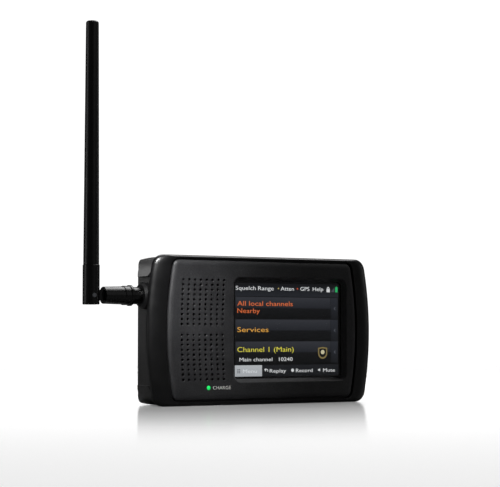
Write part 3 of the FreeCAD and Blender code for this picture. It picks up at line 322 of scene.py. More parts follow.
class Finish(Enum):
    """Every finish on the scanner, named for its material and how it was made."""

    # Spark-eroded ABS: matt dark grey, its fine grain catches the light as a faint sparkle.
    GRAINED_ABS = Moulded("grained_abs", "#18181a", "#38383a", 0.52, grain_mm=0.6, grain_height_mm=0.06)
    # Polished-mould ABS of the band: nearly black, with long soft highlights.
    SATIN_ABS = Moulded("satin_abs", "#060607", "#0b0b0c", 0.34, grain_mm=0.5, grain_height_mm=0.003)
    # Lightly grained ABS of the rear casing: black, a little duller than the band.
    CASING_ABS = Moulded("casing_abs", "#070708", "#0e0e0f", 0.38, grain_mm=0.5, grain_height_mm=0.012)
    # Polyamide of the antenna's arm and ring: black with a tighter, wetter gloss.
    ARM_NYLON = Moulded("arm_nylon", "#070708", "#0d0d0f", 0.26, grain_mm=0.6, grain_height_mm=0.003,
                        ior=1.53)
    # Overmoulded elastomer of the whip: soft black, with a faint light along its left edge.
    WHIP_RUBBER = Moulded("whip_rubber", "#060607", "#0c0c0d", 0.36, grain_mm=0.5, grain_height_mm=0.004)
    # Silicone of the button and knob: dull black that greys with handling.
    KEY_RUBBER = Moulded("key_rubber", "#101011", "#1b1b1c", 0.62, grain_mm=0.4, grain_height_mm=0.01)
    # Closed-cell foam of the window gasket: dead black, open pores.
    GASKET_FOAM = Moulded("gasket_foam", "#050505", "#0c0c0c", 0.95, grain_mm=0.5, grain_height_mm=0.05)
    # Glass-filled epoxy with green solder mask.
    BOARD_LAMINATE = Moulded("board_laminate", "#0b3a1c", "#14522a", 0.35, grain_mm=0.5, grain_height_mm=0.01)
    # Moulded epoxy of chips, switches and socket bodies.
    CHIP_EPOXY = Moulded("chip_epoxy", "#0e0e10", "#1a1a1c", 0.5, grain_mm=0.3, grain_height_mm=0.01)
    # Polyimide film of the display lead: amber brown.
    RIBBON_FILM = Moulded("ribbon_film", "#8a4a12", "#a86420", 0.3, grain_mm=0.8, grain_height_mm=0.004)
    # Pressed paper fibre of the speaker cone.
    CONE_PAPER = Moulded("cone_paper", "#141312", "#26231f", 0.9, grain_mm=0.6, grain_height_mm=0.05)
    # Printed sleeve of a cell: slate grey film over steel.
    CELL_SLEEVE = Moulded("cell_sleeve", "#3a4048", "#4a515a", 0.3, grain_mm=0.9, grain_height_mm=0.003)
    # Smoked polariser film over the display module: black and smooth.
    DISPLAY_FILM = Moulded("display_film", "#040405", "#08080a", 0.2, grain_mm=1.0, grain_height_mm=0.001)
    # White pad-printed ink.
    PRINTED_INK = Moulded("printed_ink", "#d8d8d4", "#f2f2ee", 0.5, grain_mm=0.3, grain_height_mm=0.004)
    # Woven polyester dust cloth.
    DUST_CLOTH = Woven("dust_cloth", "#070707", "#010101")
    # Pressed steel: cool grey with rolled lines.
    PRESSED_STEEL = Metal("pressed_steel", "#a9abb0", "#7d8086", 0.34)
    # Black zinc on the screws: dark grey, satin.
    BLACK_ZINC = Metal("black_zinc", "#34363a", "#1c1d20", 0.38)
    # Nickel on springs and contacts: bright, slightly warm.
    NICKEL_PLATE = Metal("nickel_plate", "#c4c0b6", "#98948a", 0.22)
    # Flash gold on the coaxial connector.
    GOLD_PLATE = Metal("gold_plate", "#d2a95a", "#a77f38", 0.2)
    # Hard-coated touch panel glass: clear with a cold grey tint.
    TOUCH_GLASS = Glass("touch_glass", "#e9ecef")

    @property
    def material(self) -> bpy.types.Material:
        """The finish's material, built once."""
        return bpy.data.materials.get(self.value.name) or self.value.material()


# --- meshes -------------------------------------------------------------------------------------
def to_object(name: str, mesh: bpy.types.Mesh) -> bpy.types.Object:
    """Links a mesh into the scene as an object at the origin."""
    made = bpy.data.objects.new(name, mesh)
    bpy.context.scene.collection.objects.link(made)
    return made


def from_shape(name: str, shape: bmesh.types.BMesh, *materials: bpy.types.Material) -> bpy.types.Object:
    """Turns a drawn shape into an object at the origin and frees the shape.

    Args:
        name: the object's name.
        shape: the drawn shape.
        *materials: the mesh's materials, in order.

    Returns:
        The object.
    """
    mesh = bpy.data.meshes.new(name)
    shape.to_mesh(mesh)
    shape.free()
    for material in materials:
        mesh.materials.append(material)
    return to_object(name, mesh)


def settle(piece: bpy.types.Object) -> bpy.types.Object:
    """Applies a piece's modifiers and turns it into a plain mesh object of the same name.

    Args:
        piece: a mesh, curve or text object.

    Returns:
        A mesh object at the origin with the same materials; the old one is gone.
    """
    bpy.context.view_layer.update()
    graph = bpy.context.evaluated_depsgraph_get()
    mesh = bpy.data.meshes.new_from_object(piece.evaluated_get(graph), preserve_all_data_layers=True,
                                           depsgraph=graph)
    mesh.transform(piece.matrix_world)
    name = piece.name
    bpy.data.objects.remove(piece)
    made = to_object(name, mesh)
    mesh.name = name
    return made


def smooth_faces(mesh: bpy.types.Mesh, crease_deg: float = 32.0) -> None:
    """Shades a mesh smooth and keeps the edges that turn by more than an angle sharp.

    Args:
        mesh: the mesh to shade.
        crease_deg: the turn beyond which an edge stays sharp.
    """
    shape = bmesh.new()
    shape.from_mesh(mesh)
    bmesh.ops.remove_doubles(shape, verts=shape.verts, dist=0.001 * MM)
    for face in shape.faces:
        face.smooth = True
    for edge in shape.edges:
        edge.smooth = edge.is_manifold and edge.calc_face_angle(0.0) < math.radians(crease_deg)
    shape.to_mesh(mesh)
    shape.free()


def weighted(piece: bpy.types.Object) -> bpy.types.Object:
    """Leans a piece's normals on its large faces, so that flats stay flat beside their round edges."""
    modifier = piece.modifiers.new("flats", "WEIGHTED_NORMAL")
    modifier.keep_sharp = True
    modifier.weight = 80
    return settle(piece)


def place_piece(piece: bpy.types.Object, body: Body, slot: str, *replaced: str) -> bpy.types.Object:
    """Fastens a finished piece to its body and hides the frame nodes that it stands for.

    Args:
        piece: the finished mesh object.
        body: the body it moves with.
        slot: not used.
        *replaced: the frame nodes that it stands for.

    Returns:
        The piece.
    """
    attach(piece, body.value)
    if replaced:
        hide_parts(*replaced)
    LOG.info("%s: %d faces on %s", piece.name, len(piece.data.polygons), body.value)
    return piece


def moulding(node: str, name: str, finish: Finish, body: Body, slot: str,
             crease_deg: float = 32.0) -> bpy.types.Object:
    """Stands a smoothly shaded piece in the place of a frame node, with the node's exact shape.

    Args:
        node: the frame node.
        name: the new piece's name.
        finish: what it is made of.
        body: the body it moves with.
        slot: not used.
        crease_deg: the turn beyond which an edge stays sharp.

    Returns:
        The piece.
    """
    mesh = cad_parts[node].data.copy()
    mesh.materials.clear()
    mesh.materials.append(finish.material)
    smooth_faces(mesh, crease_deg)
    return place_piece(weighted(to_object(name, mesh)), body, slot, node)


def dress(finish: Finish, *nodes: str) -> None:
    """Gives frame nodes a finish.

    Args:
        finish: what the nodes are made of.
        *nodes: frame nodes that are shown as they are.
    """
    for node in nodes:
        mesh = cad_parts[node].data
        mesh.materials.clear()
        mesh.materials.append(finish.material)
        LOG.info("%s: finished in %s", node, finish.value.name)


# --- the studio ---------------------------------------------------------------------------------
@dataclass
class Studio:
    """A pale floor that fades into a white surround, soft lights and the camera."""

    floor_half: float = 1.6
    floor_fade: Flat = (0.45, 1.25)
    floor_glow: float = 0.50
    floor_bounce: str = "#6a6a6a"
    footprint: Point = (0.07, 0.02, 0.0)
    floor_colour: str = "#f0f0f0"
    gloss: float = 0.88
    gloss_reach: float = 0.34
    ambient: float = 0.05
    antenna: tuple[str, ...] = ("whip_moulding", "swivel_moulding", "swivel_pin", "arm_moulding",
                                "ring_moulding", "collar_moulding")
    back: tuple[str, ...] = ("casing_moulding", "door_moulding", "casing_screws")
    camera_place: Point = (-0.4912, -0.8128, 0.0408)
    camera_turn_deg: float = 31.24
    camera_tilt_deg: float = 3.063
    lens_mm: float = 118.84

    def build(self) -> None:
        """Makes the floor, the surrounding light, the lamps and the camera."""
        self.make_floor()
        self.make_surround()
        self.make_lamps()
        self.make_camera()

    def make_floor(self) -> None:
        """Lays a pale lacquered floor that fades into the white surround some way out."""
        half = self.floor_half
        shape = bmesh.new()
        corners = ((-half, -half), (half, -half), (half, half), (-half, half))
        shape.faces.new([shape.verts.new((x, y, 0.0)) for x, y in corners])
        material, tree = empty_material("lacquered_white_board")
        place = object_place(tree)
        seen = add(tree, "ShaderNodeLightPath").outputs["Is Camera Ray"]
        board = add(tree, "ShaderNodeBsdfPrincipled",
                    {"Base Color": blend(tree, seen, self.floor_bounce, self.floor_colour), "Roughness": 0.9,
                     "Specular IOR Level": 0.0, "Emission Color": linear("#ffffff"),
                     "Emission Strength": work(tree, "MULTIPLY", seen, self.floor_glow)})
        lacquer = add(tree, "ShaderNodeBsdfAnisotropic", {"Color": linear("#ffffff"), "Roughness": 0.12})
        beside = add(tree, "ShaderNodeVectorMath", {0: place}, operation="ABSOLUTE").outputs[0]
        for way, size in (("SUBTRACT", self.footprint), ("MAXIMUM", (0.0, 0.0, 0.0))):
            beside = add(tree, "ShaderNodeVectorMath", {0: beside, 1: size}, operation=way).outputs[0]
        apart = add(tree, "ShaderNodeVectorMath", {0: beside}, operation="LENGTH").outputs["Value"]
        wiped = remap(tree, apart, (0.0, self.gloss_reach), (self.gloss, 0.0), "SMOOTHERSTEP")
        grazing = add(tree, "ShaderNodeFresnel", {"IOR": 1.45}).outputs[0]
        coated = add(tree, "ShaderNodeMixShader", {0: work(tree, "MULTIPLY", wiped, grazing),
                                                   1: board.outputs[0], 2: lacquer.outputs[0]})
        away = add(tree, "ShaderNodeVectorMath", {0: place}, operation="LENGTH").outputs["Value"]
        open_air = add(tree, "ShaderNodeBsdfTransparent")
        both = add(tree, "ShaderNodeMixShader", {0: remap(tree, away, self.floor_fade, way="SMOOTHSTEP"),
                                                 1: coated.outputs[0], 2: open_air.outputs[0]})
        add(tree, "ShaderNodeOutputMaterial", {"Surface": both.outputs[0]})
        from_shape("floor", shape, material)

    def make_surround(self) -> None:
        """Surrounds the set with white for the eye and dimmer light for what glossy faces reflect."""
        world = bpy.data.worlds.new("surround")
        bpy.context.scene.world = world
        world.use_nodes = True
        tree = world.node_tree
        tree.nodes.clear()
        seen = add(tree, "ShaderNodeBackground", {"Color": linear("#ffffff"), "Strength": 1.1})
        ambient = add(tree, "ShaderNodeBackground", {"Color": linear("#ffffff"), "Strength": self.ambient})
        rays = add(tree, "ShaderNodeLightPath")
        both = add(tree, "ShaderNodeMixShader", {0: rays.outputs["Is Camera Ray"], 1: ambient.outputs[0],
                                                 2: seen.outputs[0]})
        add(tree, "ShaderNodeOutputWorld", {"Surface": both.outputs[0]})

    def lamp(self, name: str, place: Point, size: Flat, watts: float, aim: Point = (0.0, 0.0, 0.05),
             spread_deg: float = 180.0) -> None:
        """Hangs one softbox.

        Args:
            name: the lamp's name.
            place: where it hangs.
            size: its width and height.
            watts: its power.
            aim: the point it faces.
            spread_deg: how wide its light opens; a grid in front of it makes it narrow.
        """
        light = bpy.data.lights.new(name, "AREA")
        light.shape = "RECTANGLE"
        light.size, light.size_y = size
        light.energy = watts
        light.spread = math.radians(spread_deg)
        made = bpy.data.objects.new(name, light)
        made.visible_camera = False
        made.location = place
        made.rotation_mode = "QUATERNION"
        made.rotation_quaternion = (Vector(place) - Vector(aim)).to_track_quat("Z", "Y")
        bpy.context.scene.collection.objects.link(made)

    def make_lamps(self) -> None:
        """Hangs the top, front and rear softboxes, a gridded key, two strips and the backdrop's light."""
        self.lamp("top_softbox", (0.30, 0.24, 0.85), (1.1, 0.48), 8.0)
        self.lamp("left_strip", (-0.95, 0.35, 0.25), (0.16, 0.7), 0.9)
        self.lamp("key_softbox", (-0.45, -0.60, 0.62), (0.06, 0.06), 0.046, (-0.068, -0.02, 0.074), 7.5)
        self.lamp("front_softbox", (0.20, -0.93, 0.46), (0.62, 0.74), 0.28)
        self.lamp("right_strip", (0.95, -0.25, 0.20), (0.06, 0.3), 0.12)
        self.lamp("backdrop_light", (1.13, 1.89, 0.40), (1.2, 0.8), 3.0, (0.0, 0.0, 0.3))
        self.lamp("rear_softbox", (-0.35, 0.95, 0.40), (0.7, 0.5), 1.6)

    def flag_lamps(self) -> None:
        """Flags the key off the antenna and the two lamps behind off all but what they are there for."""
        meshes = [piece for piece in bpy.data.objects if piece.type == "MESH"]
        lit = {"key_softbox": [piece for piece in meshes if piece.name not in self.antenna],
               "rear_softbox": [piece for piece in meshes if piece.name in self.back],
               "backdrop_light": [bpy.data.objects["floor"]]}
        for name, pieces in lit.items():
            flagged = bpy.data.collections.new(f"lit_by_{name}")
            for piece in pieces:
                flagged.objects.link(piece)
            bpy.data.objects[name].light_linking.receiver_collection = flagged

    def make_camera(self) -> None:
        """Sets the camera a little below half the body's height, turned to show the left end."""
        data = bpy.data.cameras.new("camera")
        data.sensor_width = 36.0
        data.lens = self.lens_mm
        camera = bpy.data.objects.new("camera", data)
        camera.location = self.camera_place
        camera.rotation_euler = Euler((math.radians(90 + self.camera_tilt_deg), 0.0,
                                       math.radians(-self.camera_turn_deg)))
        bpy.context.scene.collection.objects.link(camera)
        bpy.context.scene.camera = camera
        bpy.context.scene.view_settings.view_transform = "Standard"


# --- the display --------------------------------------------------------------------------------
@dataclass
class Screen:
    """The display under the touch panel: bars, list rows, labels and small signs.

    Places on the display are millimetres right of and below the top left corner of its lit area.
    """

    module_margin: float = 2.4
    air_gap: float = 0.10
    film: float = 0.012
    glass_bevel: float = 0.15
    status_high: float = 7.4
    row_tops: tuple[float, ...] = (7.8, 20.5, 33.0)
    row_high: float = 12.4
    foot_top: float = 46.3
    button_wide: float = 17.9
    arrow_column: float = 64.9
    status_line: float = 3.9
    status_capital: float = 2.3
    foot_line: float = 50.6
    foot_capital: float = 2.1
    detail_line: float = 44.1
    detail_capital: float = 2.2
    sign_lift: float = 0.9
    badge_place: Flat = (59.1, 39.4)
    badge_half: float = 3.35
    badge_rim: float = 0.85

    def __post_init__(self) -> None:
        """Reads the lit area's place from the display module."""
        low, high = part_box("display")
        self.left = low.x / MM + self.module_margin
        self.top = high.z / MM - self.module_margin
        self.wide = (high.x - low.x) / MM - 2 * self.module_margin
        self.high = (high.z - low.z) / MM - 2 * self.module_margin
        self.front = low.y

    def sheet(self, name: str, shapes: Sequence[tuple[Sequence[Flat], bpy.types.Material]],
              level: int) -> bpy.types.Object:
        """Makes thin flat shapes that lie on the display as one piece.

        Args:
            name: the piece's name.
            shapes: outlines and the material of each.
            level: how many films lie under these shapes.

        Returns:
            The piece, not yet on its body.
        """
        shape = bmesh.new()
        materials: list[bpy.types.Material] = []
        back = self.front - level * self.film * MM
        for outline, material in shapes:
            if material not in materials:
                materials.append(material)
            lower = [shape.verts.new(self.point(x, z, back)) for x, z in outline]
            upper = [shape.verts.new(self.point(x, z, back - self.film * MM)) for x, z in outline]
            count = len(outline)
            faces = [shape.faces.new(lower), shape.faces.new(upper[::-1])]
            faces += [shape.faces.new((lower[n], upper[n], upper[(n + 1) % count], lower[(n + 1) % count]))
                      for n in range(count)]
            for face in faces:
                face.material_index = materials.index(material)
        bmesh.ops.recalc_face_normals(shape, faces=shape.faces)
        return from_shape(name, shape, *materials)

    def point(self, x: float, z: float, y: float) -> Point:
        """The place of a point on the display, given right of and below its corner."""
        return (self.left + x) * MM, y, (self.top - z) * MM

    def height_of(self, below: float) -> float:
        """The height, in millimetres, of a line below the lit area's top."""
        return self.top - below

    def lettering(self, name: str, lines: Sequence[tuple[str, float, float, float, float]],
                  material: bpy.types.Material) -> list[bpy.types.Object]:
        """Sets lines of plain type on the display.

        Args:
            name: the stem of the pieces' names.
            lines: words, left edge, baseline, capital height and set width, in millimetres.
            material: the type's lit colour.

        Returns:
            One mesh object for each line.
        """
        made = []
        for number, (words, x, base, capital, width) in enumerate(lines):
            made.append(set_type(f"{name}_{number + 1}", words, capital, width, self.film * MM, material,
                                 Vector(self.point(x, base, self.front - 2 * self.film * MM))))
        return made

    def rectangle(self, left: float, top: float, right: float, bottom: float) -> list[Flat]:
        """The corners of an upright rectangle on the display."""
        return [(left, top), (right, top), (right, bottom), (left, bottom)]

    def disc(self, x: float, z: float, radius: float, count: int = 20) -> list[Flat]:
        """The points of a round spot on the display."""
        turns = [2 * math.pi * n / count for n in range(count)]
        return [(x + radius * math.cos(a), z + radius * math.sin(a)) for a in turns]

    def shaded(self, name: str, top: str, bottom: str, from_z: float, to_z: float,
               strength: float = 1.0) -> bpy.types.Material:
        """A lit material that runs from one colour to another between two lines of the display."""
        return Lit(name, top, bottom, strength, self.height_of(from_z), self.height_of(to_z)).material()

    def even(self, name: str, colour: str, strength: float = 1.0) -> bpy.types.Material:
        """A lit material of one colour."""
        return Lit(name, colour, colour, strength).material()

    def build(self) -> None:
        """Makes the glass, the lit picture and all its type and signs."""
        self.make_glass()
        self.make_background()
        self.make_signs()
        self.make_type()

    def make_glass(self) -> None:
        """The touch panel, a hair thinner than its place so that the picture fits behind it."""
        low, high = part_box("touch_panel")
        shape = bmesh.new()
        bmesh.ops.create_cube(shape, size=1.0)
        thick = high.y - low.y - self.air_gap * MM
        size = Vector((high.x - low.x, thick, high.z - low.z))
        middle = Vector(((low.x + high.x) / 2, low.y + thick / 2, (low.z + high.z) / 2))
        for corner in shape.verts:
            corner.co = Vector(a * b for a, b in zip(corner.co, size)) + middle
        bmesh.ops.bevel(shape, geom=shape.edges[:], offset=self.glass_bevel * MM, segments=3, affect="EDGES",
                        profile=0.5)
        glass = from_shape("touch_glass_panel", shape, Finish.TOUCH_GLASS.material)
        smooth_faces(glass.data)
        place_piece(weighted(glass), Body.SCANNER, "screen_glass", "touch_panel")

    def make_background(self) -> None:
        """The lit ground, the status bar, the list rows and the foot bar with its pressed button."""
        right = self.wide
        ground = self.even("lit_ground", "#060607", 0.8)
        shapes = [(self.rectangle(0, 0, right, self.high), ground)]
        place_piece(self.sheet("display_ground", shapes, 0), Body.SCANNER, "display_module")
        status = self.shaded("lit_status_bar", "#0f0f11", "#26282d", 0, self.status_high)
        foot = self.shaded("lit_foot_bar", "#202124", "#121315", self.foot_top, self.high)
        pressed = self.shaded("lit_pressed_button", "#c2c4c5", "#b4b6b8", self.foot_top, self.high)
        shapes = [(self.rectangle(0, 0, right, self.status_high), status),
                  (self.rectangle(self.button_wide + 0.3, self.foot_top, right, self.high), foot),
                  (self.rectangle(0, self.foot_top, self.button_wide, self.high), pressed)]
        for number, top in enumerate(self.row_tops):
            half, end = top + self.row_high / 2, top + self.row_high
            upper = self.shaded(f"lit_row_{number + 1}_upper", "#37383d", "#24252a", top, half)
            lower = self.shaded(f"lit_row_{number + 1}_lower", "#131315", "#0a0a0b", half, end)
            column = self.shaded(f"lit_column_{number + 1}", "#2c2e34", "#191a1d", top, end)
            shapes += [(self.rectangle(0.4, top, self.arrow_column - 0.3, half), upper),
                       (self.rectangle(0.4, half, self.arrow_column - 0.3, end), lower),
                       (self.rectangle(self.arrow_column, top, right - 0.4, end), column)]
        place_piece(self.sheet("display_rows", shapes, 1), Body.SCANNER, "display_module")

    def make_signs(self) -> None:
        """The small signs: spots, padlock, signal steps, cell, arrows, loudspeaker and badge."""
        white = self.even("lit_white", "#e8e8e6")
        dim = self.even("lit_grey", "#5d5f66")
        red = self.even("lit_red", "#d8552f")
        yellow = self.even("lit_pale_yellow", "#c9b36a")
        green = self.even("lit_green", "#2fbf6a")
        gold = self.shaded("lit_gold", "#a8935a", "#8a784a", 0, 1)
        pale = self.even("lit_pale_gold", "#d8cfa8")
        shadow = self.even("lit_shadow", "#141415")
        middle = self.status_high / 2 - self.sign_lift
        shapes = [(self.disc(28.9, middle, 0.42), yellow), (self.disc(41.8, middle, 0.45), red)]
        shapes += [(self.rectangle(61.9, middle - 0.1, 64.2, middle + 1.75), white)]
        shapes += [(self.arch(63.05, middle - 0.1, 0.95, 0.5), white)]
        shapes += [(self.rectangle(65.3 + 0.55 * n, middle + 1.0 - 0.6 * n, 65.65 + 0.55 * n, middle + 1.6),
                    dim) for n in range(4)]
        shapes += [(self.rectangle(68.0, middle - 1.2, 69.6, middle + 1.7), green),
                   (self.rectangle(68.5, middle - 1.6, 69.1, middle - 1.2), green)]
        for top in self.row_tops:
            centre, x = top + self.row_high / 2, (self.arrow_column + self.wide) / 2
            shapes.append(([(x + 0.5, centre - 1.1), (x + 0.5, centre - 0.5), (x, centre),
                            (x + 0.5, centre + 0.5), (x + 0.5, centre + 1.1), (x - 0.6, centre)], dim))
        foot = (self.foot_top + self.high) / 2
        shapes += [(self.disc(38.4, foot, 0.95), white)]
        shapes += [([(55.9, foot - 0.4), (56.5, foot - 0.4), (57.3, foot - 1.0), (57.3, foot + 1.0),
                     (56.5, foot + 0.4), (55.9, foot + 0.4)], white)]
        shapes += [(self.arc_band(20.9, foot, 1.0, 0.42, 150, 400), white),
                   ([(19.3, foot - 0.6), (20.5, foot - 1.4), (20.4, foot + 0.3)], white)]
        shapes += [(self.rectangle(1.6 + 1.05 * col, foot - 1.0 + 0.85 * row, 2.35 + 1.05 * col,
                                   foot - 0.45 + 0.85 * row), dim) for col in range(2) for row in range(3)]
        across, down = self.badge_place
        shapes += [(self.badge(across, down, self.badge_half), gold)]
        place_piece(self.sheet("display_signs", shapes, 2), Body.SCANNER, "display_module")
        inner = [(self.badge(across, down, self.badge_half - self.badge_rim), shadow)]
        place_piece(self.sheet("display_badge_field", inner, 3), Body.SCANNER, "display_module")
        spot = [(self.disc(across, down - 0.2, 1.3), pale)]
        place_piece(self.sheet("display_badge_disc", spot, 4), Body.SCANNER, "display_module")

    def arch(self, x: float, z: float, radius: float, width: float) -> list[Flat]:
        """A padlock's shackle: a half ring that stands on a line."""
        outer = [(x - radius * math.cos(a), z - radius * 1.3 * math.sin(a)) for a in self.turns(0, 180, 10)]
        small = radius - width
        inner = [(x + small * math.cos(a), z - small * 1.3 * math.sin(a)) for a in self.turns(0, 180, 10)]
        return outer + inner

    def arc_band(self, x: float, z: float, radius: float, width: float, start: float,
                 end: float) -> list[Flat]:
        """A part of a ring, for the curled arrow."""
        around = self.turns(start, end, 14)
        outer = [(x + radius * math.cos(a), z + radius * math.sin(a)) for a in around]
        small = radius - width
        return outer + [(x + small * math.cos(a), z + small * math.sin(a)) for a in reversed(around)]

    def turns(self, start: float, end: float, count: int) -> list[float]:
        """Evenly spaced angles, in radians, between two in degrees."""
        return [math.radians(start + (end - start) * n / count) for n in range(count + 1)]

    def badge(self, x: float, z: float, half: float) -> list[Flat]:
        """A plain heater shield: level top, straight shoulders and a round point below."""
        wide = half * 0.95
        sides = [(x + wide * math.cos(a), z + half * (0.1 + math.sin(a))) for a in self.turns(0, 180, 14)]
        return [(x - wide, z - half * 0.8), (x, z - wide), (x + wide, z - half * 0.8)] + sides

    def make_type(self) -> None:
        """The labels: plain general words only."""
        white = self.even("lit_white_type", "#f6f6f4")
        top, tall = self.status_line, self.status_capital
        foot, low = self.foot_line, self.foot_capital
        under, small = self.detail_line, self.detail_capital
        lines = {"status": ([("Squelch", 0.5, top, tall, 13.2), ("Range", 15.3, top, tall, 10.4),
                             ("Atten", 30.4, top, tall, 9.0), ("GPS", 43.8, top, tall, 6.2),
                             ("Help", 52.3, top, tall, 7.3)], white),
                 "foot": ([("Replay", 23.0, foot, low, 11.0), ("Record", 40.7, foot, low, 11.4),
                           ("Mute", 59.4, foot, low, 8.2)], white),
                 "menu": ([("Menu", 5.3, foot, low, 9.2)], self.even("lit_pressed_type", "#eceeee")),
                 "first_row": ([("All local channels", 1.6, 12.8, 2.8, 37.0),
                                ("Nearby", 1.6, 16.9, 2.8, 14.8)],
                               self.even("lit_orange_type", "#f0763f")),
                 "second_row": ([("Services", 1.6, 27.6, 2.9, 20.6)],
                                self.even("lit_amber_type", "#f2b04a")),
                 "third_row": ([("Channel 1 (Main)", 1.6, 38.8, 2.9, 37.6)],
                               self.even("lit_yellow_type", "#ece048")),
                 "detail": ([("Main channel", 3.0, under, small, 21.8), ("10240", 29.2, under, small, 9.2)],
                            white)}
        for name, (words, material) in lines.items():
            for piece in self.lettering(f"type_{name}", words, material):
                place_piece(piece, Body.SCANNER, "display_module")


def set_type(name: str, words: str, capital: float, width: float, thick: float, material: bpy.types.Material,
             corner: Vector) -> bpy.types.Object:
    """Sets one line of plain type, upright and facing forwards, as a thin closed mesh.

    Args:
        name: the piece's name.
        words: what it says.
        capital: the height of a capital letter, in millimetres.
        width: how wide the whole line is set, in millimetres.
        thick: how thick the letters are, in millimetres.
        material: the letters' material.
        corner: the left end of the baseline.

    Returns:
        The mesh object.
    """
    text = bpy.data.curves.new(name, "FONT")
    text.body = words
    text.resolution_u = 3
    text.extrude = 0.5
    draft = bpy.data.objects.new(name, text)
    bpy.context.scene.collection.objects.link(draft)
    made = settle(draft)
    bpy.data.curves.remove(text)
    mesh = made.data
    xs = [v.co.x for v in mesh.vertices]
    across = width * MM / (max(xs) - min(xs))
    upright = capital * MM / CAPITAL_SHARE
    left = min(xs)
    for vertex in mesh.vertices:
        x, z, y = vertex.co
        vertex.co = corner + Vector(((x - left) * across, -(y + 0.5) * thick * MM, z * upright))
    shape = bmesh.new()
    shape.from_mesh(mesh)
    bmesh.ops.remove_doubles(shape, verts=shape.verts, dist=0.0005 * MM)
    bmesh.ops.recalc_face_normals(shape, faces=shape.faces)
    shape.to_mesh(mesh)
    shape.free()
    mesh.materials.clear()
    mesh.materials.append(material)
    return made


# --- outlines and lofts -------------------------------------------------------------------------
@dataclass(frozen=True)
class Bowed:
    """A rounded rectangle whose two ends bow outwards, seen from the front, in millimetres."""

    half_width: float
    low: float
    high: float
    corner: float
    bow: float = 195.0

    def inset(self, amount: float) -> "Bowed":
        """The outline that lies an even amount inside this one."""
        return Bowed(self.half_width - amount, self.low + amount, self.high - amount, self.corner - amount,
                     self.bow - amount)

    def towards(self, other: "Bowed", share: float) -> "Bowed":
        """The outline part of the way to another one."""
        mix = [a + (b - a) * share for a, b in zip(self.sizes, other.sizes)]
        return Bowed(*mix)

    @property
    def sizes(self) -> tuple[float, ...]:
        """All five sizes in order."""
        return self.half_width, self.low, self.high, self.corner, self.bow

    def points(self, corner_steps: int = 12, end_steps: int = 24, side_steps: int = 24) -> list[Flat]:
        """Walks the outline anticlockwise from the foot of the right end.

        Args:
            corner_steps: steps in each rounded corner.
            end_steps: steps along each bowed end.
            side_steps: steps along the top and the bottom.

        Returns:
            Points right of the middle and above the base.
        """
        middle, half = (self.low + self.high) / 2, (self.high - self.low) / 2
        rise, reach = half - self.corner, self.bow - self.corner
        turn = math.asin(rise / reach)
        hub = self.half_width - self.bow
        centre = hub + reach * math.cos(turn)
        end = [(hub + self.bow * math.cos(a), self.bow * math.sin(a))
               for a in spread(-turn, turn, end_steps)]
        top = [(centre + self.corner * math.cos(a), rise + self.corner * math.sin(a))
               for a in spread(turn, math.pi / 2, corner_steps)]
        across = [(x, half) for x in spread(centre, -centre, side_steps)]
        quarter = end + top[1:] + across[1:-1]
        upper = [(-x, z) for x, z in reversed(top)]
        other = [(-x, -z) for x, z in end]
        lower = [(-x, -z) for x, z in top[1:]] + [(-x, -z) for x, z in across[1:-1]]
        last = [(x, -z) for x, z in reversed(top)]
        ring = quarter + upper[:-1] + other + lower + last[:-1]
        return [(x, z + middle) for x, z in ring]


@dataclass(frozen=True)
class RoundedBox:
    """A rounded rectangle with straight sides, in millimetres."""

    x: float
    z: float
    half_x: float
    half_z: float
    corner: float

    def points(self, corner_steps: int = 8) -> list[Flat]:
        """Walks the outline anticlockwise from the right side."""
        made = []
        for quarter, (sx, sz) in enumerate(((1, 1), (-1, 1), (-1, -1), (1, -1))):
            cx, cz = self.x + sx * (self.half_x - self.corner), self.z + sz * (self.half_z - self.corner)
            start = quarter * math.pi / 2
            made += [(cx + self.corner * math.cos(a), cz + self.corner * math.sin(a))
                     for a in spread(start, start + math.pi / 2, corner_steps)]
        return made


def spread(start: float, end: float, steps: int) -> list[float]:
    """Evenly spaced values from start to end, both included."""
    return [start + (end - start) * n / steps for n in range(steps + 1)]


def circle(x: float, z: float, radius: float, count: int) -> list[Flat]:
    """Evenly spaced points round a circle, the first one on its right."""
    return [(x + radius * math.cos(2 * math.pi * n / count), z + radius * math.sin(2 * math.pi * n / count))
            for n in range(count)]


def loft(shape: bmesh.types.BMesh, rings: Sequence[tuple[Sequence[Flat], float]],
         closed: bool = False) -> None:
    """Joins outlines of equal count into a strip of quads.

    Args:
        shape: the mesh that gets the strip, flat outlines in X and Y with depth along -Z.
        rings: outlines and the depth of each behind the front face.
        closed: whether the last ring joins the first.
    """
    rows = [[shape.verts.new((x * MM, z * MM, -depth * MM)) for x, z in ring] for ring, depth in rings]
    pairs = list(zip(rows, rows[1:])) + ([(rows[-1], rows[0])] if closed else [])
    for first, second in pairs:
        count = len(first)
        for n in range(count):
            shape.faces.new((first[n], first[(n + 1) % count], second[(n + 1) % count], second[n]))


def standing(name: str, shape: bmesh.types.BMesh, front: float) -> bpy.types.Object:
    """Makes a flat-drawn shape stand upright with its front at a place.

    Args:
        name: the object's name.
        shape: the drawn shape, which is freed.
        front: the Y of its front face, in metres.

    Returns:
        The object, turned upright, with its place not yet applied.
    """
    made = from_shape(name, shape)
    made.rotation_euler = Euler((math.pi / 2, 0.0, 0.0))
    made.location = (0.0, front, 0.0)
    return made


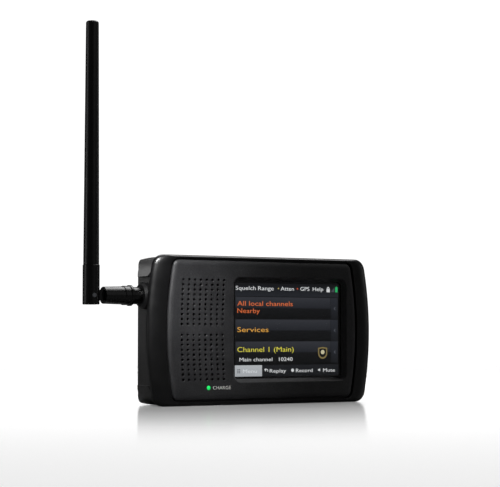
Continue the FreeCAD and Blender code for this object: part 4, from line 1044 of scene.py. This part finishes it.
# --- the front housing --------------------------------------------------------------------------
@dataclass
class Grille:
    """The two blocks of speaker holes, whose columns bow with the end of the body."""

    columns: int = 8
    rows: int = 10
    pitch_x: float = 3.69
    pitch_z: float = 2.72
    gap: float = 5.95
    bow: float = 195.0
    hole: float = 0.75
    lip: float = 0.16
    sides: int = 16
    thick: float = 2.4

    def hole_wall(self) -> bpy.types.Object:
        """The inside of one hole: a rounded lip and a straight wall, as a template."""
        shape = bmesh.new()
        rings = [(circle(0, 0, self.hole + self.lip * (1 - math.sin(a)), self.sides),
                  self.lip * (1 - math.cos(a))) for a in spread(0, math.pi / 2, 3)]
        loft(shape, rings + [(circle(0, 0, self.hole, self.sides), self.thick)])
        return from_shape("hole_wall", shape)

    def tree(self, finish: bpy.types.Material) -> bpy.types.NodeTree:
        """The node tree that closes a panel's open front and back with perforated faces.

        Args:
            finish: the panel's material.

        Returns:
            The geometry tree, whose inputs are the grille's sizes.
        """
        tree = bpy.data.node_groups.new("perforated_panel", "GeometryNodeTree")
        face = tree.interface
        face.new_socket("Panel", in_out="INPUT", socket_type="NodeSocketGeometry")
        sizes = {"Columns": self.columns, "Rows": self.rows}
        for name in sizes:
            face.new_socket(name, in_out="INPUT", socket_type="NodeSocketInt")
        for name in ("Pitch X", "Pitch Z", "Gap", "Bow", "Hole", "Lip", "Thick", "Middle X", "Middle Z"):
            face.new_socket(name, in_out="INPUT", socket_type="NodeSocketFloat")
        face.new_socket("Hole Wall", in_out="INPUT", socket_type="NodeSocketObject")
        face.new_socket("Panel", in_out="OUTPUT", socket_type="NodeSocketGeometry")
        given = add(tree, "NodeGroupInput").outputs
        holes = self.hole_points(tree, given)
        place = add(tree, "GeometryNodeInputPosition").outputs[0]
        level = add(tree, "ShaderNodeSeparateXYZ", {0: place}).outputs["Z"]
        faces = add(tree, "GeometryNodeInputMeshEdgeNeighbors").outputs[0]
        open_edge = add(tree, "FunctionNodeCompare", {2: faces, 3: 1}, data_type="INT",
                        operation="EQUAL").outputs[0]
        half = work(tree, "MULTIPLY", given["Thick"], -0.5)
        fills = []
        wide = work(tree, "ADD", given["Hole"], given["Lip"])
        for way, radius in (("GREATER_THAN", wide), ("LESS_THAN", given["Hole"])):
            near = add(tree, "FunctionNodeCompare", {0: level, 1: half}, operation=way).outputs[0]
            both = add(tree, "FunctionNodeBooleanMath", {0: open_edge, 1: near}, operation="AND").outputs[0]
            rims = add(tree, "GeometryNodeMeshToCurve", {"Mesh": given["Panel"],
                                                         "Selection": both}).outputs[0]
            ring = add(tree, "GeometryNodeCurvePrimitiveCircle", {"Resolution": self.sides, "Radius": radius})
            many = add(tree, "GeometryNodeInstanceOnPoints", {"Points": holes, "Instance": ring.outputs[0]})
            real = add(tree, "GeometryNodeRealizeInstances", {0: many.outputs[0]}).outputs[0]
            lines = add(tree, "GeometryNodeJoinGeometry", {0: rims})
            tree.links.new(real, lines.inputs[0])
            fills.append(add(tree, "GeometryNodeFillCurve", {0: lines.outputs[0]},
                             mode="TRIANGLES").outputs[0])
        back = add(tree, "GeometryNodeFlipFaces", {0: fills[1]}).outputs[0]
        drop = work(tree, "MULTIPLY", given["Thick"], -1.0)
        away = add(tree, "ShaderNodeCombineXYZ", {"Z": drop}).outputs[0]
        back = add(tree, "GeometryNodeTransform", {"Geometry": back, "Translation": away}).outputs[0]
        wall = add(tree, "GeometryNodeObjectInfo", {0: given["Hole Wall"], 1: True}).outputs["Geometry"]
        walls = add(tree, "GeometryNodeInstanceOnPoints", {"Points": holes, "Instance": wall}).outputs[0]
        parts = add(tree, "GeometryNodeJoinGeometry", {0: given["Panel"]})
        for piece in (fills[0], back, walls):
            tree.links.new(piece, parts.inputs[0])
        real = add(tree, "GeometryNodeRealizeInstances", {0: parts.outputs[0]}).outputs[0]
        sewn = add(tree, "GeometryNodeMergeByDistance", {"Geometry": real, "Distance": 0.004 * MM}).outputs[0]
        done = add(tree, "GeometryNodeSetMaterial", {"Geometry": sewn, "Material": finish}).outputs[0]
        add(tree, "NodeGroupOutput", {0: done})
        return tree

    def hole_points(self, tree: bpy.types.NodeTree, given: bpy.types.NodeOutputs) -> bpy.types.NodeSocket:
        """The nodes that lay out the hole centres.

        Args:
            tree: the tree that gets them.
            given: the tree's inputs.

        Returns:
            The socket with a point at each centre.
        """
        wide = work(tree, "MULTIPLY", work(tree, "SUBTRACT", given["Columns"], 1.0), given["Pitch X"])
        tall = work(tree, "MULTIPLY", work(tree, "SUBTRACT", given["Rows"], 1.0), given["Pitch Z"])
        grid = add(tree, "GeometryNodeMeshGrid",
                   {"Size X": wide, "Size Y": tall, "Vertices X": given["Columns"],
                    "Vertices Y": given["Rows"]}).outputs[0]
        shift = work(tree, "MULTIPLY", work(tree, "ADD", tall, given["Gap"]), 0.5)
        blocks = add(tree, "GeometryNodeJoinGeometry")
        for sign in (1.0, -1.0):
            step = add(tree, "ShaderNodeCombineXYZ", {"Y": work(tree, "MULTIPLY", shift, sign)}).outputs[0]
            moved = add(tree, "GeometryNodeTransform", {"Geometry": grid, "Translation": step}).outputs[0]
            tree.links.new(moved, blocks.inputs[0])
        place = add(tree, "GeometryNodeInputPosition").outputs[0]
        up = add(tree, "ShaderNodeSeparateXYZ", {0: place}).outputs["Y"]
        bow = given["Bow"]
        square = work(tree, "SUBTRACT", work(tree, "MULTIPLY", bow, bow), work(tree, "MULTIPLY", up, up))
        sag = work(tree, "MULTIPLY", work(tree, "SUBTRACT", bow, work(tree, "SQRT", square)), 0.5)
        step = add(tree, "ShaderNodeCombineXYZ", {"X": work(tree, "ADD", sag, given["Middle X"]),
                                                  "Y": given["Middle Z"]}).outputs[0]
        placed = add(tree, "GeometryNodeSetPosition", {"Geometry": blocks.outputs[0],
                                                       "Offset": step}).outputs[0]
        return add(tree, "GeometryNodeMeshToPoints", {"Mesh": placed}).outputs[0]

    def inputs(self, middle: Flat) -> dict[str, float | int]:
        """The tree's input values, lengths in metres, for a grille round a middle."""
        lengths = {"Pitch X": self.pitch_x, "Pitch Z": self.pitch_z, "Gap": self.gap, "Bow": self.bow,
                   "Hole": self.hole, "Lip": self.lip, "Thick": self.thick, "Middle X": middle[0],
                   "Middle Z": middle[1]}
        return {"Columns": self.columns, "Rows": self.rows} | {k: v * MM for k, v in lengths.items()}


def run_tree(piece: bpy.types.Object, tree: bpy.types.NodeTree, values: dict[str, object]) -> None:
    """Hangs a geometry tree on a piece and sets its inputs by their identifiers.

    Args:
        piece: the object that gets the tree.
        tree: the geometry tree.
        values: input names to values.
    """
    modifier = piece.modifiers.new(tree.name, "NODES")
    modifier.node_group = tree
    names = {item.name: item.identifier for item in tree.interface.items_tree if item.in_out == "INPUT"}
    for name, value in values.items():
        modifier[names[name]] = value
    piece.update_tag()


def sewn(piece: bpy.types.Object, crease_deg: float = 32.0) -> bpy.types.Object:
    """Merges a settled piece's doubles, points its faces outwards and shades it.

    Args:
        piece: a mesh object at the origin.
        crease_deg: the turn beyond which an edge stays sharp.

    Returns:
        The same piece, with its normals leaning on its large faces.
    """
    shape = bmesh.new()
    shape.from_mesh(piece.data)
    bmesh.ops.remove_doubles(shape, verts=shape.verts, dist=0.002 * MM)
    bmesh.ops.recalc_face_normals(shape, faces=shape.faces)
    shape.to_mesh(piece.data)
    shape.free()
    smooth_faces(piece.data, crease_deg)
    return weighted(piece)


@dataclass
class FrontHousing:
    """The grained front panel with its grille and window, and the smooth band round it."""

    panel_thick: float = 2.4
    panel_edge: float = 1.5
    panel_roll: float = 3.2
    panel_corner: float = 4.0
    window_depth: float = 3.0
    window_lip: float = 1.2
    window_bevel: float = 2.0
    window_corner: float = 2.6
    window_round: float = 0.45
    window_foot: float = 0.12
    gasket_wide: float = 1.2
    display_margin: float = 2.4
    light_hole: float = 1.25
    light_sides: int = 24
    grille_left: float = 8.4
    band_front: float = 0.5
    band_corner: float = 7.0
    opening_gap: float = 0.95
    opening_depth: float = 2.5
    ledge: float = 2.2
    print_room: float = 0.03
    light_lip: float = 0.1
    light_rise: float = 0.32
    light_crown: float = 0.02
    label_step: float = 2.6
    label_drop: float = 0.9
    label_capital: float = 1.9
    label_wide: float = 11.4

    def build(self) -> None:
        """Makes every piece of the front."""
        self.measure()
        self.make_panel()
        self.make_band()
        self.make_light()
        self.make_label()
        moulding("window_gasket", "window_seal", Finish.GASKET_FOAM, Body.SCANNER, "foam")

    def measure(self) -> None:
        """Reads where the panel, window, grille and light are from the frame."""
        low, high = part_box("front_panel")
        self.front = low.y
        self.panel = Bowed(high.x / MM, low.z / MM, high.z / MM, self.panel_corner)
        low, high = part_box("display")
        self.window = RoundedBox((low.x + high.x) / 2 / MM, (low.z + high.z) / 2 / MM,
                                 (high.x - low.x) / 2 / MM - self.display_margin,
                                 (high.z - low.z) / 2 / MM - self.display_margin, self.window_corner)
        self.grille = Grille()
        wide = (self.grille.columns - 1) / 2 * self.grille.pitch_x
        self.grille_middle = (-self.panel.half_width + self.grille_left + wide, self.window.z)
        low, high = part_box("charge_light")
        self.light = ((low.x + high.x) / 2 / MM, (low.z + high.z) / 2 / MM)

    def window_at(self, grow: float) -> list[Flat]:
        """The window's outline, larger than the lit area by an amount."""
        return RoundedBox(self.window.x, self.window.z, self.window.half_x + grow, self.window.half_z + grow,
                          self.window.corner + grow - self.window_lip).points()

    def make_panel(self) -> None:
        """Lofts the panel's rolled edge and window walls, then closes it with perforated faces."""
        shape = bmesh.new()
        edge = [(self.panel.inset(self.panel_roll * (1 - math.sin(a))).points(),
                 self.panel_edge * (1 - math.cos(a))) for a in spread(0, math.pi / 2, 10)]
        loft(shape, edge + [(self.panel.points(), self.panel_thick)])
        outer = self.window_lip + self.window_bevel
        slope = math.atan2(self.window_depth, self.window_bevel)
        radius = self.window_round
        reach = radius * math.tan(slope / 2)
        lip = [(outer + reach - radius * math.sin(a), radius * (1 - math.cos(a)))
               for a in spread(0, slope, 5)]
        foot = [(self.window_lip + self.window_foot, self.window_depth - self.window_foot),
                (self.window_lip, self.window_depth)]
        skirt = [(self.window_lip + self.gasket_wide, self.window_depth),
                 (self.window_lip + self.gasket_wide, self.panel_thick)]
        loft(shape, [(self.window_at(grow), depth) for grow, depth in lip + foot + skirt])
        wall = circle(*self.light, self.light_hole, self.light_sides)
        loft(shape, [(circle(*self.light, self.light_hole + self.light_lip, self.light_sides), 0.0),
                     (wall, self.light_lip), (wall, self.panel_thick)])
        draft = standing("panel_moulding", shape, self.front + self.print_room * MM)
        hole = self.grille.hole_wall()
        tree = self.grille.tree(Finish.GRAINED_ABS.material)
        values = self.grille.inputs(self.grille_middle) | {"Hole Wall": hole}
        run_tree(draft, tree, values)
        panel = sewn(settle(draft))
        bpy.data.objects.remove(hole)
        self.polish_window(panel.data, outer + reach)
        place_piece(panel, Body.SCANNER, "textured_plastic", "front_panel")

    def polish_window(self, mesh: bpy.types.Mesh, grow: float) -> None:
        """Gives the window's sloping walls the band's smooth finish.

        Args:
            mesh: the panel's mesh.
            grow: how far the walls reach beyond the lit area, in millimetres.
        """
        mesh.materials.append(Finish.SATIN_ABS.material)
        window = self.window
        for face in mesh.polygons:
            beside_x = abs(face.center.x / MM - window.x) - window.half_x
            beside_z = abs(face.center.z / MM - window.z) - window.half_z
            if max(beside_x, beside_z) < grow and face.normal.y > -0.9999:
                face.material_index = 1

    def make_band(self) -> None:
        """Lofts the smooth band: a lip at the groove, a crowned slope and a rounded rim."""
        low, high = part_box("front_frame")
        outer = Bowed(self.frame_half(), low.z / MM, high.z / MM, self.band_corner)
        gap = self.opening_gap
        inner = Bowed(self.panel.half_width + gap, self.panel.low - gap, self.panel.high + gap,
                      self.panel_corner + gap)
        back = (high.y - low.y) / MM + self.band_front
        rise = self.opening_depth
        section = [(0.0, rise), (0.0, 0.85), (0.008, 0.64), (0.03, 0.52), (0.07, 0.5), (0.20, 0.5),
                   (0.34, 0.53), (0.48, 0.68), (0.62, 0.98), (0.75, 1.40), (0.86, 1.90), (0.94, 2.45),
                   (0.985, 3.0), (1.0, 3.6), (1.0, back)]
        rings = [(inner.towards(outer, share).points(), depth) for share, depth in section]
        ledge = inner.inset(gap + self.ledge)
        rings += [(ledge.points(), back), (ledge.points(), rise)]
        shape = bmesh.new()
        loft(shape, rings, closed=True)
        draft = standing("band_moulding", shape, self.front)
        band = sewn(settle(draft), 50.0)
        band.data.materials.append(Finish.SATIN_ABS.material)
        place_piece(band, Body.SCANNER, "satin_plastic", "front_frame")

    def frame_half(self) -> float:
        """The band's half width, from the right end of its box, in millimetres."""
        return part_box("front_frame")[1].x / MM

    def make_light(self) -> None:
        """The charge light: a domed light pipe that glows green."""
        radius, sides = self.light_hole - self.light_lip, self.light_sides
        shape = bmesh.new()
        dome = [(circle(*self.light, max(radius * math.sin(a), self.light_crown), sides),
                 self.light_rise * (1 - math.cos(a)) + self.light_crown) for a in spread(0.0, math.pi / 2, 6)]
        loft(shape, dome + [(circle(*self.light, radius, sides), self.panel_thick)])
        for ring in (0, len(dome)):
            shape.verts.ensure_lookup_table()
            shape.faces.new([shape.verts[ring * sides + n] for n in range(sides)])
        piece = sewn(settle(standing("charge_light_dome", shape, self.front)))
        piece.data.materials.append(Lit("lit_charge_light", "#22d765", "#0fae48", 1.6, self.light[1] + radius,
                                        self.light[1] - radius).material())
        place_piece(piece, Body.SCANNER, "light_pipe", "charge_light")

    def make_label(self) -> None:
        """The printed word beside the charge light."""
        corner = Vector(((self.light[0] + self.label_step) * MM, self.front + self.print_room * MM,
                         (self.light[1] - self.label_drop) * MM))
        word = set_type("charge_print", "CHARGE", self.label_capital, self.label_wide, 0.9 * self.print_room,
                        Finish.PRINTED_INK.material, corner)
        place_piece(word, Body.SCANNER, "light_pipe")


# --- casing, antenna and controls ---------------------------------------------------------------
@dataclass(frozen=True)
class Assembly:
    """Mouldings that keep their nodes' shapes: for each the node, the piece, its finish, body and slot."""

    rows: tuple[tuple[str, str, Finish, Body, str], ...]

    def build(self) -> None:
        """Makes each moulding on the body that it moves with."""
        for row in self.rows:
            moulding(*row)


@dataclass(frozen=True)
class Rear(Assembly):
    """The rear casing, its battery door and the screws that close it."""

    rows: tuple[tuple[str, str, Finish, Body, str], ...] = (
        ("rear_casing", "casing_moulding", Finish.CASING_ABS, Body.SCANNER, "casing_plastic"),
        ("battery_door", "door_moulding", Finish.CASING_ABS, Body.DOOR, "casing_plastic"),
        ("case_screws", "casing_screws", Finish.BLACK_ZINC, Body.SCANNER, "screw_steel"))


@dataclass(frozen=True)
class Antenna(Assembly):
    """The folding antenna: seat, connector, collar, ring, arm, swivel foot, pin and whip."""

    rows: tuple[tuple[str, str, Finish, Body, str], ...] = (
        ("antenna_seat", "seat_moulding", Finish.CASING_ABS, Body.SCANNER, "casing_plastic"),
        ("antenna_jack", "coaxial_jack", Finish.GOLD_PLATE, Body.SCANNER, "gold_metal"),
        ("antenna_collar", "collar_moulding", Finish.ARM_NYLON, Body.ARM, "antenna_plastic"),
        ("antenna_ring", "ring_moulding", Finish.ARM_NYLON, Body.ARM, "antenna_plastic"),
        ("antenna_arm", "arm_moulding", Finish.ARM_NYLON, Body.ARM, "antenna_plastic"),
        ("swivel_base", "swivel_moulding", Finish.WHIP_RUBBER, Body.WHIP, "antenna_rubber"),
        ("fold_pin", "swivel_pin", Finish.PRESSED_STEEL, Body.WHIP, "steel"),
        ("antenna_whip", "whip_moulding", Finish.WHIP_RUBBER, Body.WHIP, "antenna_rubber"))


@dataclass(frozen=True)
class Controls(Assembly):
    """The button, knob and sockets in the right recess."""

    rows: tuple[tuple[str, str, Finish, Body, str], ...] = (
        ("power_button", "button_moulding", Finish.KEY_RUBBER, Body.BUTTON, "button_rubber"),
        ("volume_knob", "knob_moulding", Finish.KEY_RUBBER, Body.KNOB, "button_rubber"),
        ("headphone_jack", "headphone_socket", Finish.CHIP_EPOXY, Body.SCANNER, "chip_plastic"),
        ("record_jack", "record_socket", Finish.CHIP_EPOXY, Body.SCANNER, "chip_plastic"),
        ("usb_jack", "data_socket", Finish.PRESSED_STEEL, Body.SCANNER, "steel"))


@dataclass
class Inside:
    """Everything behind the covers, which keeps the frame's shapes and gets its real finishes."""

    def build(self) -> None:
        """Dresses each inner node."""
        dress(Finish.DUST_CLOTH, "grille_cloth")
        dress(Finish.PRESSED_STEEL, "speaker_frame", "speaker_magnet", "display_bracket", "radio_shield",
              "card_socket", "knob_shaft")
        dress(Finish.CONE_PAPER, "speaker_cone")
        dress(Finish.DISPLAY_FILM, "display")
        dress(Finish.RIBBON_FILM, "display_ribbon")
        dress(Finish.BOARD_LAMINATE, "main_board")
        dress(Finish.CHIP_EPOXY, "board_chips", "memory_card", "power_switch", "volume_encoder")
        dress(Finish.NICKEL_PLATE, "battery_springs", "battery_contacts")
        dress(Finish.CELL_SLEEVE, "battery_cell_1", "battery_cell_2", "battery_cell_3")
        dress(Finish.GOLD_PLATE, "jack_nut")
        dress(Finish.BLACK_ZINC, "board_screws")


def main() -> None:
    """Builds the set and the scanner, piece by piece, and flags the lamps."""
    logging.basicConfig(level=logging.INFO, format="%(message)s")
    studio = Studio()
    for assembly in (studio, FrontHousing(), Screen(), Rear(), Antenna(), Controls(), Inside()):
        assembly.build()
        LOG.info("built the %s", type(assembly).__name__.lower())
    studio.flag_lamps()


if __name__ == "__main__":
    main()
